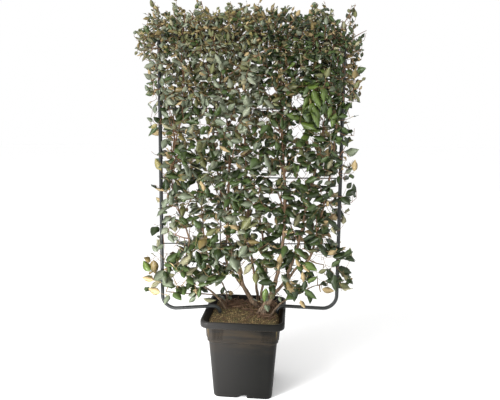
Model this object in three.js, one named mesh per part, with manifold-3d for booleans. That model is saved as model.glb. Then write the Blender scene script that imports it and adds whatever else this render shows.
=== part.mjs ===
// A silverberry trained flat on a tube frame with cross rods, growing in a square pot.
// Millimetres, +Z up, +X along the panel to the right, front of the panel towards -Y.
// The origin is the centre of the footprint, on the surface that the pot stands on.
import * as THREE from "three";
import { mergeVertices } from "three/addons/utils/BufferGeometryUtils.js";
import Module from "manifold-3d";

const wasm = await Module();
wasm.setup();

// Clearance between two pieces that touch
const GAP = 0.3;

// Square pot: half sides of its outline at the named heights
const POT = {
  centreX: -18,
  turnDeg: -6.2,
  baseHalf: 121.5,
  neckHalf: 139,
  neckZ: 244,
  collarHalf: 144,
  collarTopHalf: 149,
  collarTopZ: 313,
  rimHalf: 169,
  height: 341,
  lip: 9.5,
  wall: 3,
  floorZ: 18,
  chamfer: 3,
  rimRound: 5,
  baseCorner: 28,
  rimCorner: 36,
};
const CORNER_STEPS = 4;

// Cross channel under the pot's floor
const CHANNEL = { footWidth: 46, topWidth: 33, height: 15 };

// Soil: a low mound that is flat where the stems stand
const SOIL = { edgeZ: 303, topZ: 322, topHalf: 128, clear: 0.5 };

// Tube frame: centre lines of the uprights, bars and bends
const FRAME = {
  tube: 15,
  sides: 10,
  footHalf: 367.5,
  topHalf: 361.5,
  cornerZ: 341.5,
  rimZ: 351,
  cornerBend: 57,
  topZ: 1448,
  legBend: 30,
  legLeftX: -156,
  legRightX: 146,
  legLeanDeg: 8,
  legEndZ: 160,
};

// Rods welded across the frame: one at each bay's edge, and two upright at the thirds
const RODS = { thick: 5, sides: 8, bay: 275, firstZ: 347, levels: 3, uprightX: 125, overhang: 6 };

// Band round the top bar
const TIE = { x: -178, inner: 8.3, outer: 11, length: 12 };

// Stems: foot [x, y] on the soil, the [x, z] places passed, the depth y that each settles at,
// and its diameters above the flare and at the tip
const STEMS = {
  stem_far_left: {
    foot: [-104, 46],
    via: [
      [-148, 390], [-206, 447], [-266, 535], [-253, 649],
      [-297, 780], [-322, 940], [-270, 1177], [-266, 1396],
    ],
    depth: -15,
    thick: [8.5, 4.5],
  },
  stem_left: {
    foot: [-94, 80],
    via: [[-107, 408], [-147, 480], [-173, 525], [-192, 650], [-206, 810]],
    depth: 16,
    thick: [7, 4],
  },
  stem_mid_left: {
    foot: [16, 82],
    via: [
      [-3, 362], [-40, 430], [-72, 480], [-101, 545], [-99, 707],
      [-128, 862], [-153, 1066], [-146, 1240], [-152, 1396],
    ],
    depth: 30,
    thick: [11, 5],
  },
  stem_main_left: {
    foot: [35, 62],
    via: [[12, 357], [-24, 420], [-48, 506], [-73, 572], [-93, 700], [-87, 1026], [-102, 1150]],
    depth: 15,
    thick: [17, 5.5],
  },
  stem_middle: {
    foot: [36, 98],
    via: [[36, 360], [26, 433], [10, 528], [-7, 681], [-26, 1085], [-24, 1250]],
    depth: 16,
    thick: [12, 5],
  },
  stem_mid_right: {
    foot: [57, 92],
    via: [[52, 380], [58, 430], [66, 500], [66, 560], [27, 780], [15, 860], [22, 1020]],
    depth: 20,
    thick: [12.5, 5],
  },
  stem_main_right: {
    foot: [39, -8],
    via: [[60, 355], [97, 430], [119, 528], [136, 660], [137, 860], [117, 1149], [110, 1396]],
    depth: -15,
    thick: [18, 5.5],
  },
  stem_right: {
    foot: [52, -34],
    via: [
      [92, 400], [123, 438], [150, 481], [182, 575],
      [207, 668], [246, 876], [278, 1008], [284, 1130],
    ],
    depth: -15,
    thick: [15, 5],
  },
  shoot_low_left: {
    foot: [-120, 72],
    via: [[-130, 368], [-180, 388], [-233, 399], [-303, 413], [-350, 418]],
    depth: -13,
    thick: [7, 4],
  },
  shoot_low_right: {
    foot: [82, -46],
    via: [[127, 377], [202, 413], [258, 440], [330, 458]],
    depth: -13,
    thick: [8, 4],
  },
};
// The bough that forks from the right-hand stem and carries the panel's right edge; the side
// of the stem that it meets is a facet, a little nearer than the stem's radius
const BOUGH = {
  host: "stem_right",
  forkZ: 462,
  via: [[196, 527], [246, 566], [282, 717], [312, 863], [330, 1010], [340, 1200], [332, 1396]],
  depth: -15,
  thick: [11, 5],
  facet: 0.4,
};
const LIMB = {
  sides: 6,
  step: 70,
  flare: 0.35,
  flareLength: 22,
  flareRing: 0.35,
  settle: 250,
  clear: 0.25,
  elbow: [12, 8],
};

// Foliage: rows of masses with their lowest and highest z, their reach to the left and right,
// and the length of a leaf in them
const ROWS = [
  { from: 372, to: 470, reach: [-449, 445], leaf: 100, masses: 2 },
  { from: 470, to: 600, reach: [-440, 438], leaf: 112, masses: 4 },
  { from: 600, to: 735, reach: [-397, 396], leaf: 114, masses: 4 },
  { from: 735, to: 880, reach: [-402, 425], leaf: 112, masses: 4 },
  { from: 880, to: 1030, reach: [-402, 424], leaf: 110, masses: 4 },
  { from: 1030, to: 1190, reach: [-415, 406], leaf: 106, masses: 4 },
  { from: 1190, to: 1370, reach: [-412, 430], leaf: 104, masses: 4 },
  { from: 1370, to: 1577, reach: [-448, 432], leaf: 102, masses: 4 },
];
const FOLIAGE = {
  depthHalf: 118,
  column: 225,
  rowShift: 14,
  lowRowHole: 165,
  spaceClear: 0.4,
  hostMargin: 10,
  tipBonus: 40,
  siteShare: 0.98,
  stemThick: 9,
  twigThick: 5.6,
  tipThick: 4.4,
  squareOut: 6,
  shortTwig: 26,
  sag: 0.06,
  leafWidth: 0.68,
  leafThick: 0.03,
  droop: 0.12,
  cup: 0.05,
  widestAt: 0.42,
  rootSunk: 0.7,
  fillShare: 0.36,
  bareShare: 0.3,
  mostShared: 4,
  tries: 16,
  stemTries: 120,
  carriers: 6,
  flatten: 0.15,
  seeds: 30,
};
// Seeds of the masses in their order, the ones that fill their spaces best
const MASS_SEEDS = [
  102, 203, 336, 446, 512, 619, 748, 856, 949, 1029,
  1135, 1213, 1325, 1428, 1510, 1654, 1726, 1850, 1907, 2029,
  2155, 2216, 2314, 2427, 2550, 2616, 2720, 2836, 2927, 3005,
];

const COLOURS = {
  pot: 0x35342f,
  soil: 0x6a5636,
  frame: 0x33383a,
  stem: 0x6b4f3a,
  leaf: 0x3f5a33,
  tie: 0x17191a,
};

const UP = new THREE.Vector3(0, 0, 1);
const DOWN = new THREE.Vector3(0, 0, -1);
const radians = THREE.MathUtils.degToRad;
const vec = (x, y, z) => new THREE.Vector3(x, y, z);

// A seeded run of numbers from 0 to 1
function seeded(seed) {
  let state = seed >>> 0;
  return () => {
    state = (state + 0x6d2b79f5) >>> 0;
    let t = Math.imul(state ^ (state >>> 15), state | 1);
    t = (t + Math.imul(t ^ (t >>> 7), t | 61)) ^ t;
    return ((t ^ (t >>> 14)) >>> 0) / 4294967296;
  };
}

// Solids and geometries

function solidOf(geometry) {
  const bare = new THREE.BufferGeometry();
  bare.setAttribute("position", geometry.getAttribute("position"));
  bare.setIndex(geometry.getIndex());
  const merged = mergeVertices(bare, 1e-4);
  return new wasm.Manifold(
    new wasm.Mesh({
      numProp: 3,
      vertProperties: merged.attributes.position.array,
      triVerts: new Uint32Array(merged.index.array),
    }),
  );
}

function geometryOf(solid) {
  const mesh = solid.getMesh();
  const geometry = new THREE.BufferGeometry();
  geometry.setAttribute("position", new THREE.BufferAttribute(mesh.vertProperties, 3));
  geometry.setIndex(new THREE.BufferAttribute(mesh.triVerts, 1));
  geometry.computeVertexNormals();
  return geometry;
}

// A closed solid through loops of equal count, with a flat fan over the first and the last
function loft(loops) {
  const count = loops[0].length;
  const positions = loops.flat().flatMap((p) => [p.x, p.y, p.z]);
  const index = [];
  for (let row = 0; row + 1 < loops.length; row++) {
    for (let k = 0; k < count; k++) {
      const a = row * count + k;
      const b = row * count + ((k + 1) % count);
      index.push(a, b, b + count, a, b + count, a + count);
    }
  }
  const last = (loops.length - 1) * count;
  for (let k = 1; k + 1 < count; k++) {
    index.push(0, k + 1, k);
    index.push(last, last + k, last + k + 1);
  }
  const geometry = new THREE.BufferGeometry();
  geometry.setAttribute("position", new THREE.Float32BufferAttribute(positions, 3));
  geometry.setIndex(index);
  return geometry;
}

// A round, tapering tube along points; each end face can be given its own normal
function tube(points, radii, sides, firstNormal = null, lastNormal = null) {
  const tangents = points.map((p, i) => {
    const before = points[Math.max(i - 1, 0)];
    const after = points[Math.min(i + 1, points.length - 1)];
    return after.clone().sub(before).normalize();
  });
  if (firstNormal) tangents[0] = firstNormal.clone();
  if (lastNormal) tangents[points.length - 1] = lastNormal.clone();
  const across = Math.abs(tangents[0].y) < 0.8 ? vec(0, 1, 0) : vec(1, 0, 0);
  const loops = points.map((p, i) => {
    across.addScaledVector(tangents[i], -across.dot(tangents[i])).normalize();
    const other = tangents[i].clone().cross(across);
    return Array.from({ length: sides }, (_, k) => {
      const angle = (2 * Math.PI * k) / sides;
      return p
        .clone()
        .addScaledVector(across, radii[i] * Math.cos(angle))
        .addScaledVector(other, radii[i] * Math.sin(angle));
    });
  });
  return loft(loops);
}

// Pot and soil

function squareLoop(half, z, corner) {
  const loop = [];
  const inner = half - corner;
  for (let quarter = 0; quarter < 4; quarter++) {
    const [sx, sy] = [[1, 1], [-1, 1], [-1, -1], [1, -1]][quarter];
    for (let k = 0; k <= CORNER_STEPS; k++) {
      const angle = (Math.PI / 2) * (quarter + k / CORNER_STEPS);
      loop.push(vec(sx * inner + corner * Math.cos(angle), sy * inner + corner * Math.sin(angle), z));
    }
  }
  return loop;
}

function cornerAt(z) {
  return THREE.MathUtils.lerp(POT.baseCorner, POT.rimCorner, z / POT.height);
}

function placeInPot(geometry) {
  return geometry.rotateZ(radians(POT.turnDeg)).translate(POT.centreX, 0, 0);
}

// Half side of the pot's inner wall at the floor, the neck and the collar's top
const INSIDE = [
  [POT.baseHalf + 1 - POT.wall, POT.floorZ],
  [POT.neckHalf - POT.wall, POT.neckZ - 1],
  [POT.collarHalf - POT.wall + 0.5, POT.neckZ + 4],
  [POT.collarTopHalf - POT.wall + 0.5, POT.collarTopZ - 2],
];

function potGeometry() {
  const outside = [
    [POT.baseHalf - POT.chamfer, 0],
    [POT.baseHalf, POT.chamfer],
    [POT.neckHalf, POT.neckZ],
    [POT.collarHalf, POT.neckZ + 2 * POT.chamfer],
    [POT.collarTopHalf, POT.collarTopZ],
    [POT.rimHalf - POT.chamfer, POT.collarTopZ + POT.chamfer],
    [POT.rimHalf, POT.collarTopZ + POT.rimRound + 2],
    [POT.rimHalf, POT.height - POT.rimRound],
    [POT.rimHalf - POT.chamfer, POT.height],
    [POT.rimHalf - POT.lip, POT.height],
    [POT.rimHalf - POT.lip - POT.rimRound / 2, POT.height - POT.rimRound],
  ];
  const profile = [...outside, ...[...INSIDE].reverse()];
  const shell = solidOf(
    loft(
      profile.map(([half, z], i) => {
        const corner = cornerAt(z) - (i < outside.length ? 0 : POT.wall);
        return squareLoop(half, z, corner);
      }),
    ),
  );
  const foot = CHANNEL.footWidth / 2;
  const top = CHANNEL.topWidth / 2;
  const section = new THREE.Shape();
  section.moveTo(-foot, -1);
  section.lineTo(foot, -1);
  section.lineTo(top, CHANNEL.height);
  section.lineTo(-top, CHANNEL.height);
  const length = 4 * POT.baseHalf;
  const alongY = new THREE.ExtrudeGeometry(section, { depth: length, bevelEnabled: false });
  alongY.rotateX(Math.PI / 2).translate(0, length / 2, 0);
  const alongX = alongY.clone().rotateZ(Math.PI / 2);
  return placeInPot(geometryOf(shell.subtract(solidOf(alongY)).subtract(solidOf(alongX))));
}

function soilGeometry(legs) {
  const rings = INSIDE.slice(0, 3).map(([half, z]) => [half - SOIL.clear, z + GAP]);
  const [[lowHalf, lowZ], [highHalf, highZ]] = INSIDE.slice(2);
  const rise = (SOIL.edgeZ - lowZ) / (highZ - lowZ);
  rings.push([THREE.MathUtils.lerp(lowHalf, highHalf, rise) - SOIL.clear, SOIL.edgeZ]);
  rings.push([SOIL.topHalf, SOIL.topZ]);
  const loops = rings.map(([half, z]) => squareLoop(half, z, cornerAt(z) - POT.wall - SOIL.clear));
  let solid = solidOf(placeInPot(loft(loops)));
  for (const leg of legs) solid = solid.subtract(solidOf(leg));
  return geometryOf(solid);
}

// Tube frame, rods and tie

// Points of an arc about a centre in the panel's plane, angles from +X towards +Z
function arcPoints(x, z, radius, fromDeg, toDeg, steps) {
  return Array.from({ length: steps + 1 }, (_, k) => {
    const angle = radians(THREE.MathUtils.lerp(fromDeg, toDeg, k / steps));
    return vec(x + radius * Math.cos(angle), 0, z + radius * Math.sin(angle));
  });
}

function pipe(points, radius, sides, firstNormal = null, lastNormal = null) {
  return tube(points, points.map(() => radius), sides, firstNormal, lastNormal);
}

function uprightX(z) {
  const share = (z - FRAME.cornerZ) / (FRAME.topZ - FRAME.cornerZ);
  return THREE.MathUtils.lerp(FRAME.footHalf, FRAME.topHalf, share);
}

// The bottom arm on one side (-1 left, 1 right), over the rim and down into the soil
function armPoints(side, extra = 0) {
  const legX = side < 0 ? FRAME.legLeftX : FRAME.legRightX;
  const outer = side * (FRAME.footHalf - FRAME.cornerBend - GAP);
  const bendTo = 90 + side * (90 - FRAME.legLeanDeg);
  const bend = arcPoints(legX, FRAME.rimZ - FRAME.legBend, FRAME.legBend, 90, bendTo, 5);
  const last = bend[bend.length - 1];
  const drop = last.z - FRAME.legEndZ + extra;
  const end = vec(last.x - side * drop * Math.tan(radians(FRAME.legLeanDeg)), 0, last.z - drop);
  return [vec(outer, 0, FRAME.cornerZ), ...bend, end];
}

function frameParts() {
  const parts = {};
  const radius = FRAME.tube / 2;
  const bendZ = FRAME.cornerZ + FRAME.cornerBend;
  const barZ = FRAME.topZ - FRAME.tube / 2 - GAP;
  for (const [name, side] of [["left", -1], ["right", 1]]) {
    const centreX = side * (FRAME.footHalf - FRAME.cornerBend);
    const turn = side < 0 ? [180, 270] : [0, -90];
    const corner = arcPoints(centreX, bendZ, FRAME.cornerBend, ...turn, 6);
    const foot = vec(side * uprightX(bendZ), 0, bendZ + GAP);
    const head = vec(side * uprightX(barZ), 0, barZ);
    parts["frame_upright_" + name] = pipe([foot, head], radius, FRAME.sides, UP, UP);
    parts["frame_corner_" + name] = pipe(corner, radius, FRAME.sides, DOWN, vec(-side, 0, 0));
    parts["frame_arm_" + name] = pipe(armPoints(side), radius, FRAME.sides, vec(-side, 0, 0));
  }
  const barHalf = FRAME.topHalf + radius;
  const bar = [vec(-barHalf, 0, FRAME.topZ), vec(barHalf, 0, FRAME.topZ)];
  parts.frame_top_bar = pipe(bar, radius, FRAME.sides);
  return parts;
}

function rodParts() {
  const parts = {};
  const radius = RODS.thick / 2;
  for (let level = 1; level <= RODS.levels; level++) {
    const z = RODS.firstZ + level * RODS.bay;
    const half = uprightX(z) - FRAME.tube / 2 - GAP;
    parts["rod_across_" + level] = pipe([vec(-half, 0, z), vec(half, 0, z)], radius, RODS.sides);
  }
  const y = RODS.thick + GAP;
  const low = RODS.firstZ + RODS.bay - radius - RODS.overhang;
  const high = FRAME.topZ - FRAME.tube / 2 - GAP;
  for (const [name, side] of [["left", -1], ["right", 1]]) {
    const x = side * RODS.uprightX;
    parts["rod_upright_" + name] = pipe([vec(x, y, low), vec(x, y, high)], radius, RODS.sides);
  }
  return parts;
}

function tieGeometry() {
  const half = TIE.length / 2;
  const inside = [TIE.inner, -half];
  const band = [inside, [TIE.outer, -half], [TIE.outer, half], [TIE.inner, half], inside];
  const profile = band.map(([r, along]) => new THREE.Vector2(r, along));
  return new THREE.LatheGeometry(profile, FRAME.sides).rotateZ(Math.PI / 2).translate(TIE.x, 0, FRAME.topZ);
}

// Stems and boughs

// Evenly spaced points with radii along a smooth line through places
function limbFrom(places, depth, thick, options) {
  const curve = new THREE.CatmullRomCurve3(places, false, "catmullrom", 0.5);
  const length = curve.getLength();
  const steps = Math.round(length / LIMB.step);
  const points = curve.getSpacedPoints(steps);
  const startY = points[0].y;
  const radii = points.map((p, i) => {
    const along = (length * i) / steps;
    const share = THREE.MathUtils.smoothstep(along, 0, LIMB.settle);
    p.y = THREE.MathUtils.lerp(startY, depth, share);
    const flare = options.flare ? 1 + LIMB.flare * Math.exp(-along / LIMB.flareLength) : 1;
    return (THREE.MathUtils.lerp(thick[0], thick[1], along / length) / 2) * flare;
  });
  return { points, radii, firstNormal: options.flare ? UP : null };
}

function stemLimb(stem) {
  const [x, y] = stem.foot;
  const places = [vec(x, y, SOIL.topZ + GAP), ...stem.via.map(([px, pz]) => vec(px, y, pz))];
  const limb = limbFrom(places, stem.depth, stem.thick, { flare: true });
  // a second ring just over the foot gives the flare its shape
  const knee = limb.points[0].clone().lerp(limb.points[1], LIMB.flareRing);
  limb.points.splice(1, 0, knee);
  limb.radii.splice(1, 0, stem.thick[0] / 2);
  return limb;
}

function boughLimb(limbs) {
  const host = limbs[BOUGH.host];
  const next = host.points.findIndex((p) => p.z > BOUGH.forkZ);
  const [low, high] = [host.points[next - 1], host.points[next]];
  const share = (BOUGH.forkZ - low.z) / (high.z - low.z);
  const centre = low.clone().lerp(high, share);
  const hostRadius = THREE.MathUtils.lerp(host.radii[next - 1], host.radii[next], share);
  const along = high.clone().sub(low).normalize();
  const side = vec(1, 0, 0).addScaledVector(along, -along.x).normalize();
  const start = centre.addScaledVector(side, hostRadius - BOUGH.facet + GAP);
  const [aside, onward] = LIMB.elbow;
  const elbow = start.clone().addScaledVector(side, aside).addScaledVector(along, onward);
  const places = [start, elbow, ...BOUGH.via.map(([x, z]) => vec(x, start.y, z))];
  const limb = limbFrom(places, BOUGH.depth, BOUGH.thick, { flare: false });
  limb.firstNormal = side;
  return limb;
}

function limbGeometry(limb, extra = 0) {
  const radii = limb.radii.map((r) => r + extra);
  return tube(limb.points, radii, LIMB.sides, limb.firstNormal);
}

// Foliage

// One leaf: a flat, faintly cupped blade of 8 faces from its root to its tip
function leafGeometry(root, along, face, length) {
  const side = face.clone().cross(along).normalize();
  const half = (length * FOLIAGE.leafWidth) / 2;
  const thick = (length * FOLIAGE.leafThick) / 2;
  const blade = new THREE.OctahedronGeometry(1);
  const place = blade.getAttribute("position");
  for (let i = 0; i < place.count; i++) {
    const [lengthwise, sidewise, up] = [place.getX(i), place.getY(i), place.getZ(i)];
    const reach = Math.abs(lengthwise) > 0.5 ? (lengthwise + 1) / 2 : FOLIAGE.widestAt;
    const sunk = lengthwise < -0.5 ? -FOLIAGE.rootSunk : 0;
    const bend = length * (FOLIAGE.cup * Math.abs(sidewise) - FOLIAGE.droop * reach * reach);
    const p = root
      .clone()
      .addScaledVector(along, reach * length + sunk)
      .addScaledVector(side, sidewise * half)
      .addScaledVector(face, up * thick + bend);
    place.setXYZ(i, p.x, p.y, p.z);
  }
  return blade;
}

// The spaces of all masses: side by side in each row, one row over the other
function foliageSpaces() {
  const spaces = [];
  ROWS.forEach((row, level) => {
    const [left, right] = row.reach;
    const shift = level % 2 ? -FOLIAGE.rowShift : FOLIAGE.rowShift;
    for (let k = 0; k < row.masses; k++) {
      const low = k === 0 ? left : shift + FOLIAGE.column * (k - 2);
      const high = k === row.masses - 1 ? right : shift + FOLIAGE.column * (k - 1);
      const box = new THREE.Box3(
        vec(low, -FOLIAGE.depthHalf, row.from),
        vec(high, FOLIAGE.depthHalf, row.to),
      );
      if (row.masses === 2) {
        if (k === 0) box.max.x = -FOLIAGE.lowRowHole;
        else box.min.x = FOLIAGE.lowRowHole;
      }
      const name = "foliage_row" + (level + 1) + "_" + (k + 1);
      spaces.push({ name, box: box.expandByScalar(-FOLIAGE.spaceClear), leaf: row.leaf });
    }
  });
  return spaces;
}

// The limb place that a mass grows from: inside its space, low and near its middle, or a tip
function massHost(space, limbs) {
  const { min, max } = space.box;
  const wish = vec((min.x + max.x) / 2, 0, min.z + 0.3 * (max.z - min.z));
  let best = null;
  for (const { points, radii } of Object.values(limbs)) {
    for (let i = 1; i <= points.length; i++) {
      const atTip = i === points.length;
      const k = Math.min(i, points.length - 1);
      const p = points[k].clone().lerp(points[k - 1], atTip ? 0 : 0.5);
      const inX = p.x > min.x + FOLIAGE.hostMargin && p.x < max.x - FOLIAGE.hostMargin;
      const inZ = p.z > min.z + FOLIAGE.hostMargin / 2 && p.z < max.z - FOLIAGE.hostMargin;
      const miss = Math.hypot(p.x - wish.x, p.z - wish.z) - (atTip ? FOLIAGE.tipBonus : 0);
      if (!inX || !inZ || (best && miss >= best.miss)) continue;
      const along = points[k].clone().sub(points[k - 1]).normalize();
      const radius = atTip ? radii[k] : (radii[k] + radii[k - 1]) / 2;
      best = { miss, p, along, atTip, radius, side: p.x < wish.x ? 1 : -1 };
    }
  }
  if (!best) throw new Error(space.name + " has no limb in its space");
  return best;
}

// Where the stem of a mass starts, which way it leaves its limb, and its radius there
function massStart(host, random) {
  if (host.atTip) {
    return { start: host.p.clone().addScaledVector(host.along, GAP), out: host.along, radius: host.radius };
  }
  const towards = vec(host.side, 2.4 * (random() - 0.5), 0.2);
  const out = towards.addScaledVector(host.along, -towards.dot(host.along)).normalize();
  const start = host.p.clone().addScaledVector(out, host.radius + GAP);
  return { start, out, radius: Math.min(FOLIAGE.stemThick / 2, host.radius * 0.8) };
}

// Ends for twigs, spread evenly over a space and over its front and back
function twigSites(space, random) {
  const { min, max } = space.box;
  const spacing = space.leaf * FOLIAGE.siteShare;
  const across = Math.max(2, Math.round((max.x - min.x) / spacing));
  const up = Math.max(2, Math.round((max.z - min.z) / spacing));
  const sites = [];
  for (let row = 0; row < up; row++) {
    for (let column = 0; column < across; column++) {
      const x = min.x + ((column + 0.25 + 0.5 * random()) / across) * (max.x - min.x);
      const z = min.z + ((row + 0.25 + 0.5 * random()) / up) * (max.z - min.z);
      const front = (row + column) % 2 ? 1 : -1;
      const y = front * max.y * (0.15 + 0.45 * random());
      sites.push(vec(x, y, z));
    }
  }
  return sites;
}

function insideSpace(geometry, box) {
  geometry.computeBoundingBox();
  return box.containsBox(geometry.boundingBox);
}

// A mass in growth: its space, what it must keep clear of, its solid so far, and the places
// on its twigs that another twig can leave from
function startMass(space, obstacles, random) {
  const near = obstacles.filter((o) => o.box.intersectsBox(space.box));
  return { space, random, near, solid: null, nodes: [], blades: [] };
}

// The solid of a twig or leaf if it stays in its space, clear of limbs and of other leaves
function fits(mass, geometry) {
  if (!insideSpace(geometry, mass.space.box)) return null;
  const solid = solidOf(geometry);
  const meets = ({ box, solid: other }, most) =>
    box.intersectsBox(geometry.boundingBox) && solid.intersect(other).volume() > most;
  if (mass.near.some((o) => meets(o, 0))) return null;
  return mass.blades.some((blade) => meets(blade, FOLIAGE.mostShared)) ? null : solid;
}

// Adds a tapering three-sided twig; with a way out given, it leaves its limb squarely and sags
function addTwig(mass, from, to, radii, out = null) {
  const half = from.clone().lerp(to, 0.5);
  if (out) half.z -= FOLIAGE.sag * from.distanceTo(to);
  const points = out ? [from, from.clone().addScaledVector(out, FOLIAGE.squareOut), half, to] : [from, to];
  const radiusAt = (share) => THREE.MathUtils.lerp(radii[0], radii[1], share);
  const solid = fits(mass, tube(points, points.map((_, i) => radiusAt(i / (points.length - 1))), 3, out));
  if (!solid) return null;
  mass.solid = mass.solid ? mass.solid.add(solid) : solid;
  const twig = [0.2, 0.4, 0.6, 0.8, 1].map((share) => {
    const p = share < 0.5 ? from.clone().lerp(half, share * 2) : half.clone().lerp(to, share * 2 - 1);
    return { p, r: radiusAt(share) };
  });
  mass.nodes.push(...twig);
  return twig;
}

// Adds a leaf that leaves its twig the given way, turned until it fits
function addLeaf(mass, root, along) {
  const { random, space } = mass;
  const length = space.leaf * (0.85 + 0.3 * random());
  for (let attempt = 0; attempt < FOLIAGE.tries; attempt++) {
    const spread = 0.7 + 0.2 * attempt;
    const stray = vec(random() - 0.5, 0.6 * (random() - 0.5), random() - 0.5);
    const way = along.clone().addScaledVector(stray, spread).normalize();
    const face = vec(0.9 * (random() - 0.5), root.y < 0 ? -1 : 1, 0.35 + 0.9 * (random() - 0.5));
    face.addScaledVector(way, -face.dot(way)).normalize();
    const geometry = leafGeometry(root, way, face, length);
    const solid = fits(mass, geometry);
    if (!solid) continue;
    mass.solid = mass.solid.add(solid);
    const middle = root.clone().addScaledVector(way, length / 2);
    mass.blades.push({ solid, box: geometry.boundingBox, middle });
    return;
  }
}

// Adds leaves where none lies yet, each from the twig place that it reaches best
function fillMass(mass) {
  const { random, space } = mass;
  const { min, max } = space.box;
  const step = space.leaf * FOLIAGE.fillShare;
  const across = Math.round((max.x - min.x) / step);
  const up = Math.round((max.z - min.z) / step);
  for (let k = 0; k < across * up; k++) {
    const x = min.x + (((k % across) + 0.3 + 0.4 * random()) / across) * (max.x - min.x);
    const z = min.z + ((Math.floor(k / across) + 0.3 + 0.4 * random()) / up) * (max.z - min.z);
    const apart = (p) => Math.hypot(p.x - x, p.z - z);
    if (mass.blades.some(({ middle }) => apart(middle) < FOLIAGE.bareShare * space.leaf)) continue;
    const offReach = (node) => Math.abs(apart(node.p) - space.leaf / 2);
    const carriers = [...mass.nodes].sort((a, b) => offReach(a) - offReach(b));
    const { p } = carriers[Math.floor(3 * random())];
    const way = vec(x - p.x, 0.25 * (p.y < 0 ? -1 : 1) * apart(p), z - p.z).normalize();
    addLeaf(mass, p, way);
  }
}

// The mass's own stem, from its limb towards the middle of its space
function addStem(mass, host) {
  const { random } = mass;
  const { min, max } = mass.space.box;
  for (let attempt = 0; attempt < FOLIAGE.stemTries; attempt++) {
    const { start, out, radius } = massStart(host, random);
    const target = vec((min.x + max.x) / 2, 0, (min.z + max.z) / 2);
    target.x += (random() - 0.5) * 0.7 * (max.x - min.x);
    target.z += (random() - 0.4) * 0.8 * (max.z - min.z);
    target.y = (random() - 0.5) * max.y;
    const ahead = target.clone().sub(start).dot(out) > 0.2 * target.distanceTo(start);
    if (ahead && addTwig(mass, start, target, [radius, FOLIAGE.twigThick / 2], out)) return start;
  }
  throw new Error(mass.space.name + " has no room for its stem");
}

// Grows one mass: its stem, a twig to each site, and leaves by turns along each twig
function growMass(space, limbs, obstacles, seed) {
  const random = seeded(seed);
  const mass = startMass(space, obstacles, random);
  const root = addStem(mass, massHost(space, limbs));
  const tip = mass.nodes[4].p;
  addLeaf(mass, tip, tip.clone().sub(mass.nodes[2].p).normalize());
  const sites = twigSites(space, random);
  sites.sort((a, b) => a.distanceTo(root) - b.distanceTo(root));
  for (const site of sites) {
    const nearest = mass.nodes
      .filter((node) => node.p.distanceTo(site) > FOLIAGE.shortTwig && node.r > FOLIAGE.tipThick / 2)
      .sort((a, b) => a.p.distanceTo(site) - b.p.distanceTo(site));
    for (const node of nearest.slice(0, FOLIAGE.carriers)) {
      const thick = Math.min(node.r * 0.6, FOLIAGE.twigThick / 2);
      const twig = addTwig(mass, node.p, site, [thick, FOLIAGE.tipThick / 2]);
      if (!twig) continue;
      const along = site.clone().sub(node.p).normalize();
      const across = vec(-along.z, 0, along.x).multiplyScalar(random() < 0.5 ? 1 : -1);
      addLeaf(mass, site, along);
      addLeaf(mass, twig[1].p, along.clone().addScaledVector(across, 1.2).normalize());
      break;
    }
  }
  fillMass(mass);
  return outerBody(mass.solid.asOriginal().simplify(FOLIAGE.flatten));
}

// The largest body, without scraps and with its sealed hollows filled
function outerBody(solid) {
  const bodies = solid.decompose();
  bodies.sort((a, b) => b.volume() - a.volume());
  return bodies[0];
}

// True if no two places on the surface touch, so that each edge has one face on each side
function isSimple(solid) {
  const mesh = solid.getMesh();
  const name = (k) => [0, 1, 2].map((axis) => mesh.vertProperties[3 * k + axis].toFixed(3)).join();
  const corners = Array.from(mesh.triVerts, name);
  const edges = new Set();
  for (let k = 0; k < corners.length; k++) {
    const next = k % 3 === 2 ? k - 2 : k + 1;
    edges.add(corners[k] + " " + corners[next]);
  }
  return edges.size === corners.length;
}

// A mass is grown from the next seed where its surface would touch itself
function soundMass(space, limbs, obstacles, seed) {
  for (let attempt = 0; attempt < FOLIAGE.seeds; attempt++) {
    const solid = growMass(space, limbs, obstacles, seed + attempt);
    if (isSimple(solid)) return solid;
  }
  throw new Error(space.name + " has no simple surface");
}

// The plant in its pot

const group = new THREE.Group();

function add(name, geometry, colour, roughness, metalness = 0) {
  const material = new THREE.MeshStandardMaterial({ color: colour, roughness, metalness });
  const mesh = new THREE.Mesh(geometry, material);
  mesh.name = name;
  group.add(mesh);
}

add("pot", potGeometry(), COLOURS.pot, 0.55);

const bores = [-1, 1].map((side) => pipe(armPoints(side, GAP), FRAME.tube / 2 + GAP, FRAME.sides));
add("soil", soilGeometry(bores), COLOURS.soil, 0.95);

const metal = { ...frameParts(), ...rodParts() };
for (const [name, geometry] of Object.entries(metal)) add(name, geometry, COLOURS.frame, 0.45, 0.6);
add("tie_clip", tieGeometry(), COLOURS.tie, 0.6);

const limbs = {};
for (const [name, stem] of Object.entries(STEMS)) limbs[name] = stemLimb(stem);
limbs.bough_far_right = boughLimb(limbs);
for (const [name, limb] of Object.entries(limbs)) add(name, limbGeometry(limb), COLOURS.stem, 0.85);

// What the foliage keeps clear of
const solidsInWay = [
  ...Object.values(limbs).map((limb) => limbGeometry(limb, LIMB.clear)),
  ...Object.values(metal),
  tieGeometry(),
];
const obstacles = solidsInWay.map((geometry) => {
  geometry.computeBoundingBox();
  return { box: geometry.boundingBox, solid: solidOf(geometry) };
});

foliageSpaces().forEach((space, i) => {
  add(space.name, geometryOf(soundMass(space, limbs, obstacles, MASS_SEEDS[i])), COLOURS.leaf, 0.6);
});

export default group;
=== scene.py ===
# %% [markdown]
# # A silverberry hedge panel in its pot
# The object is an evergreen shrub that was trained flat on a frame of bent steel tube. It
# stands in a square black nursery pot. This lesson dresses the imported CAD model: the pot, the
# soil, the frame, the stems and the crown each get a detailed piece in the place of their
# plain solids. All lengths are named in millimetres and become metres when a mesh is made.

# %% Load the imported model
import math

import bpy
import numpy as np
from mathutils import Matrix, Vector


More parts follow.
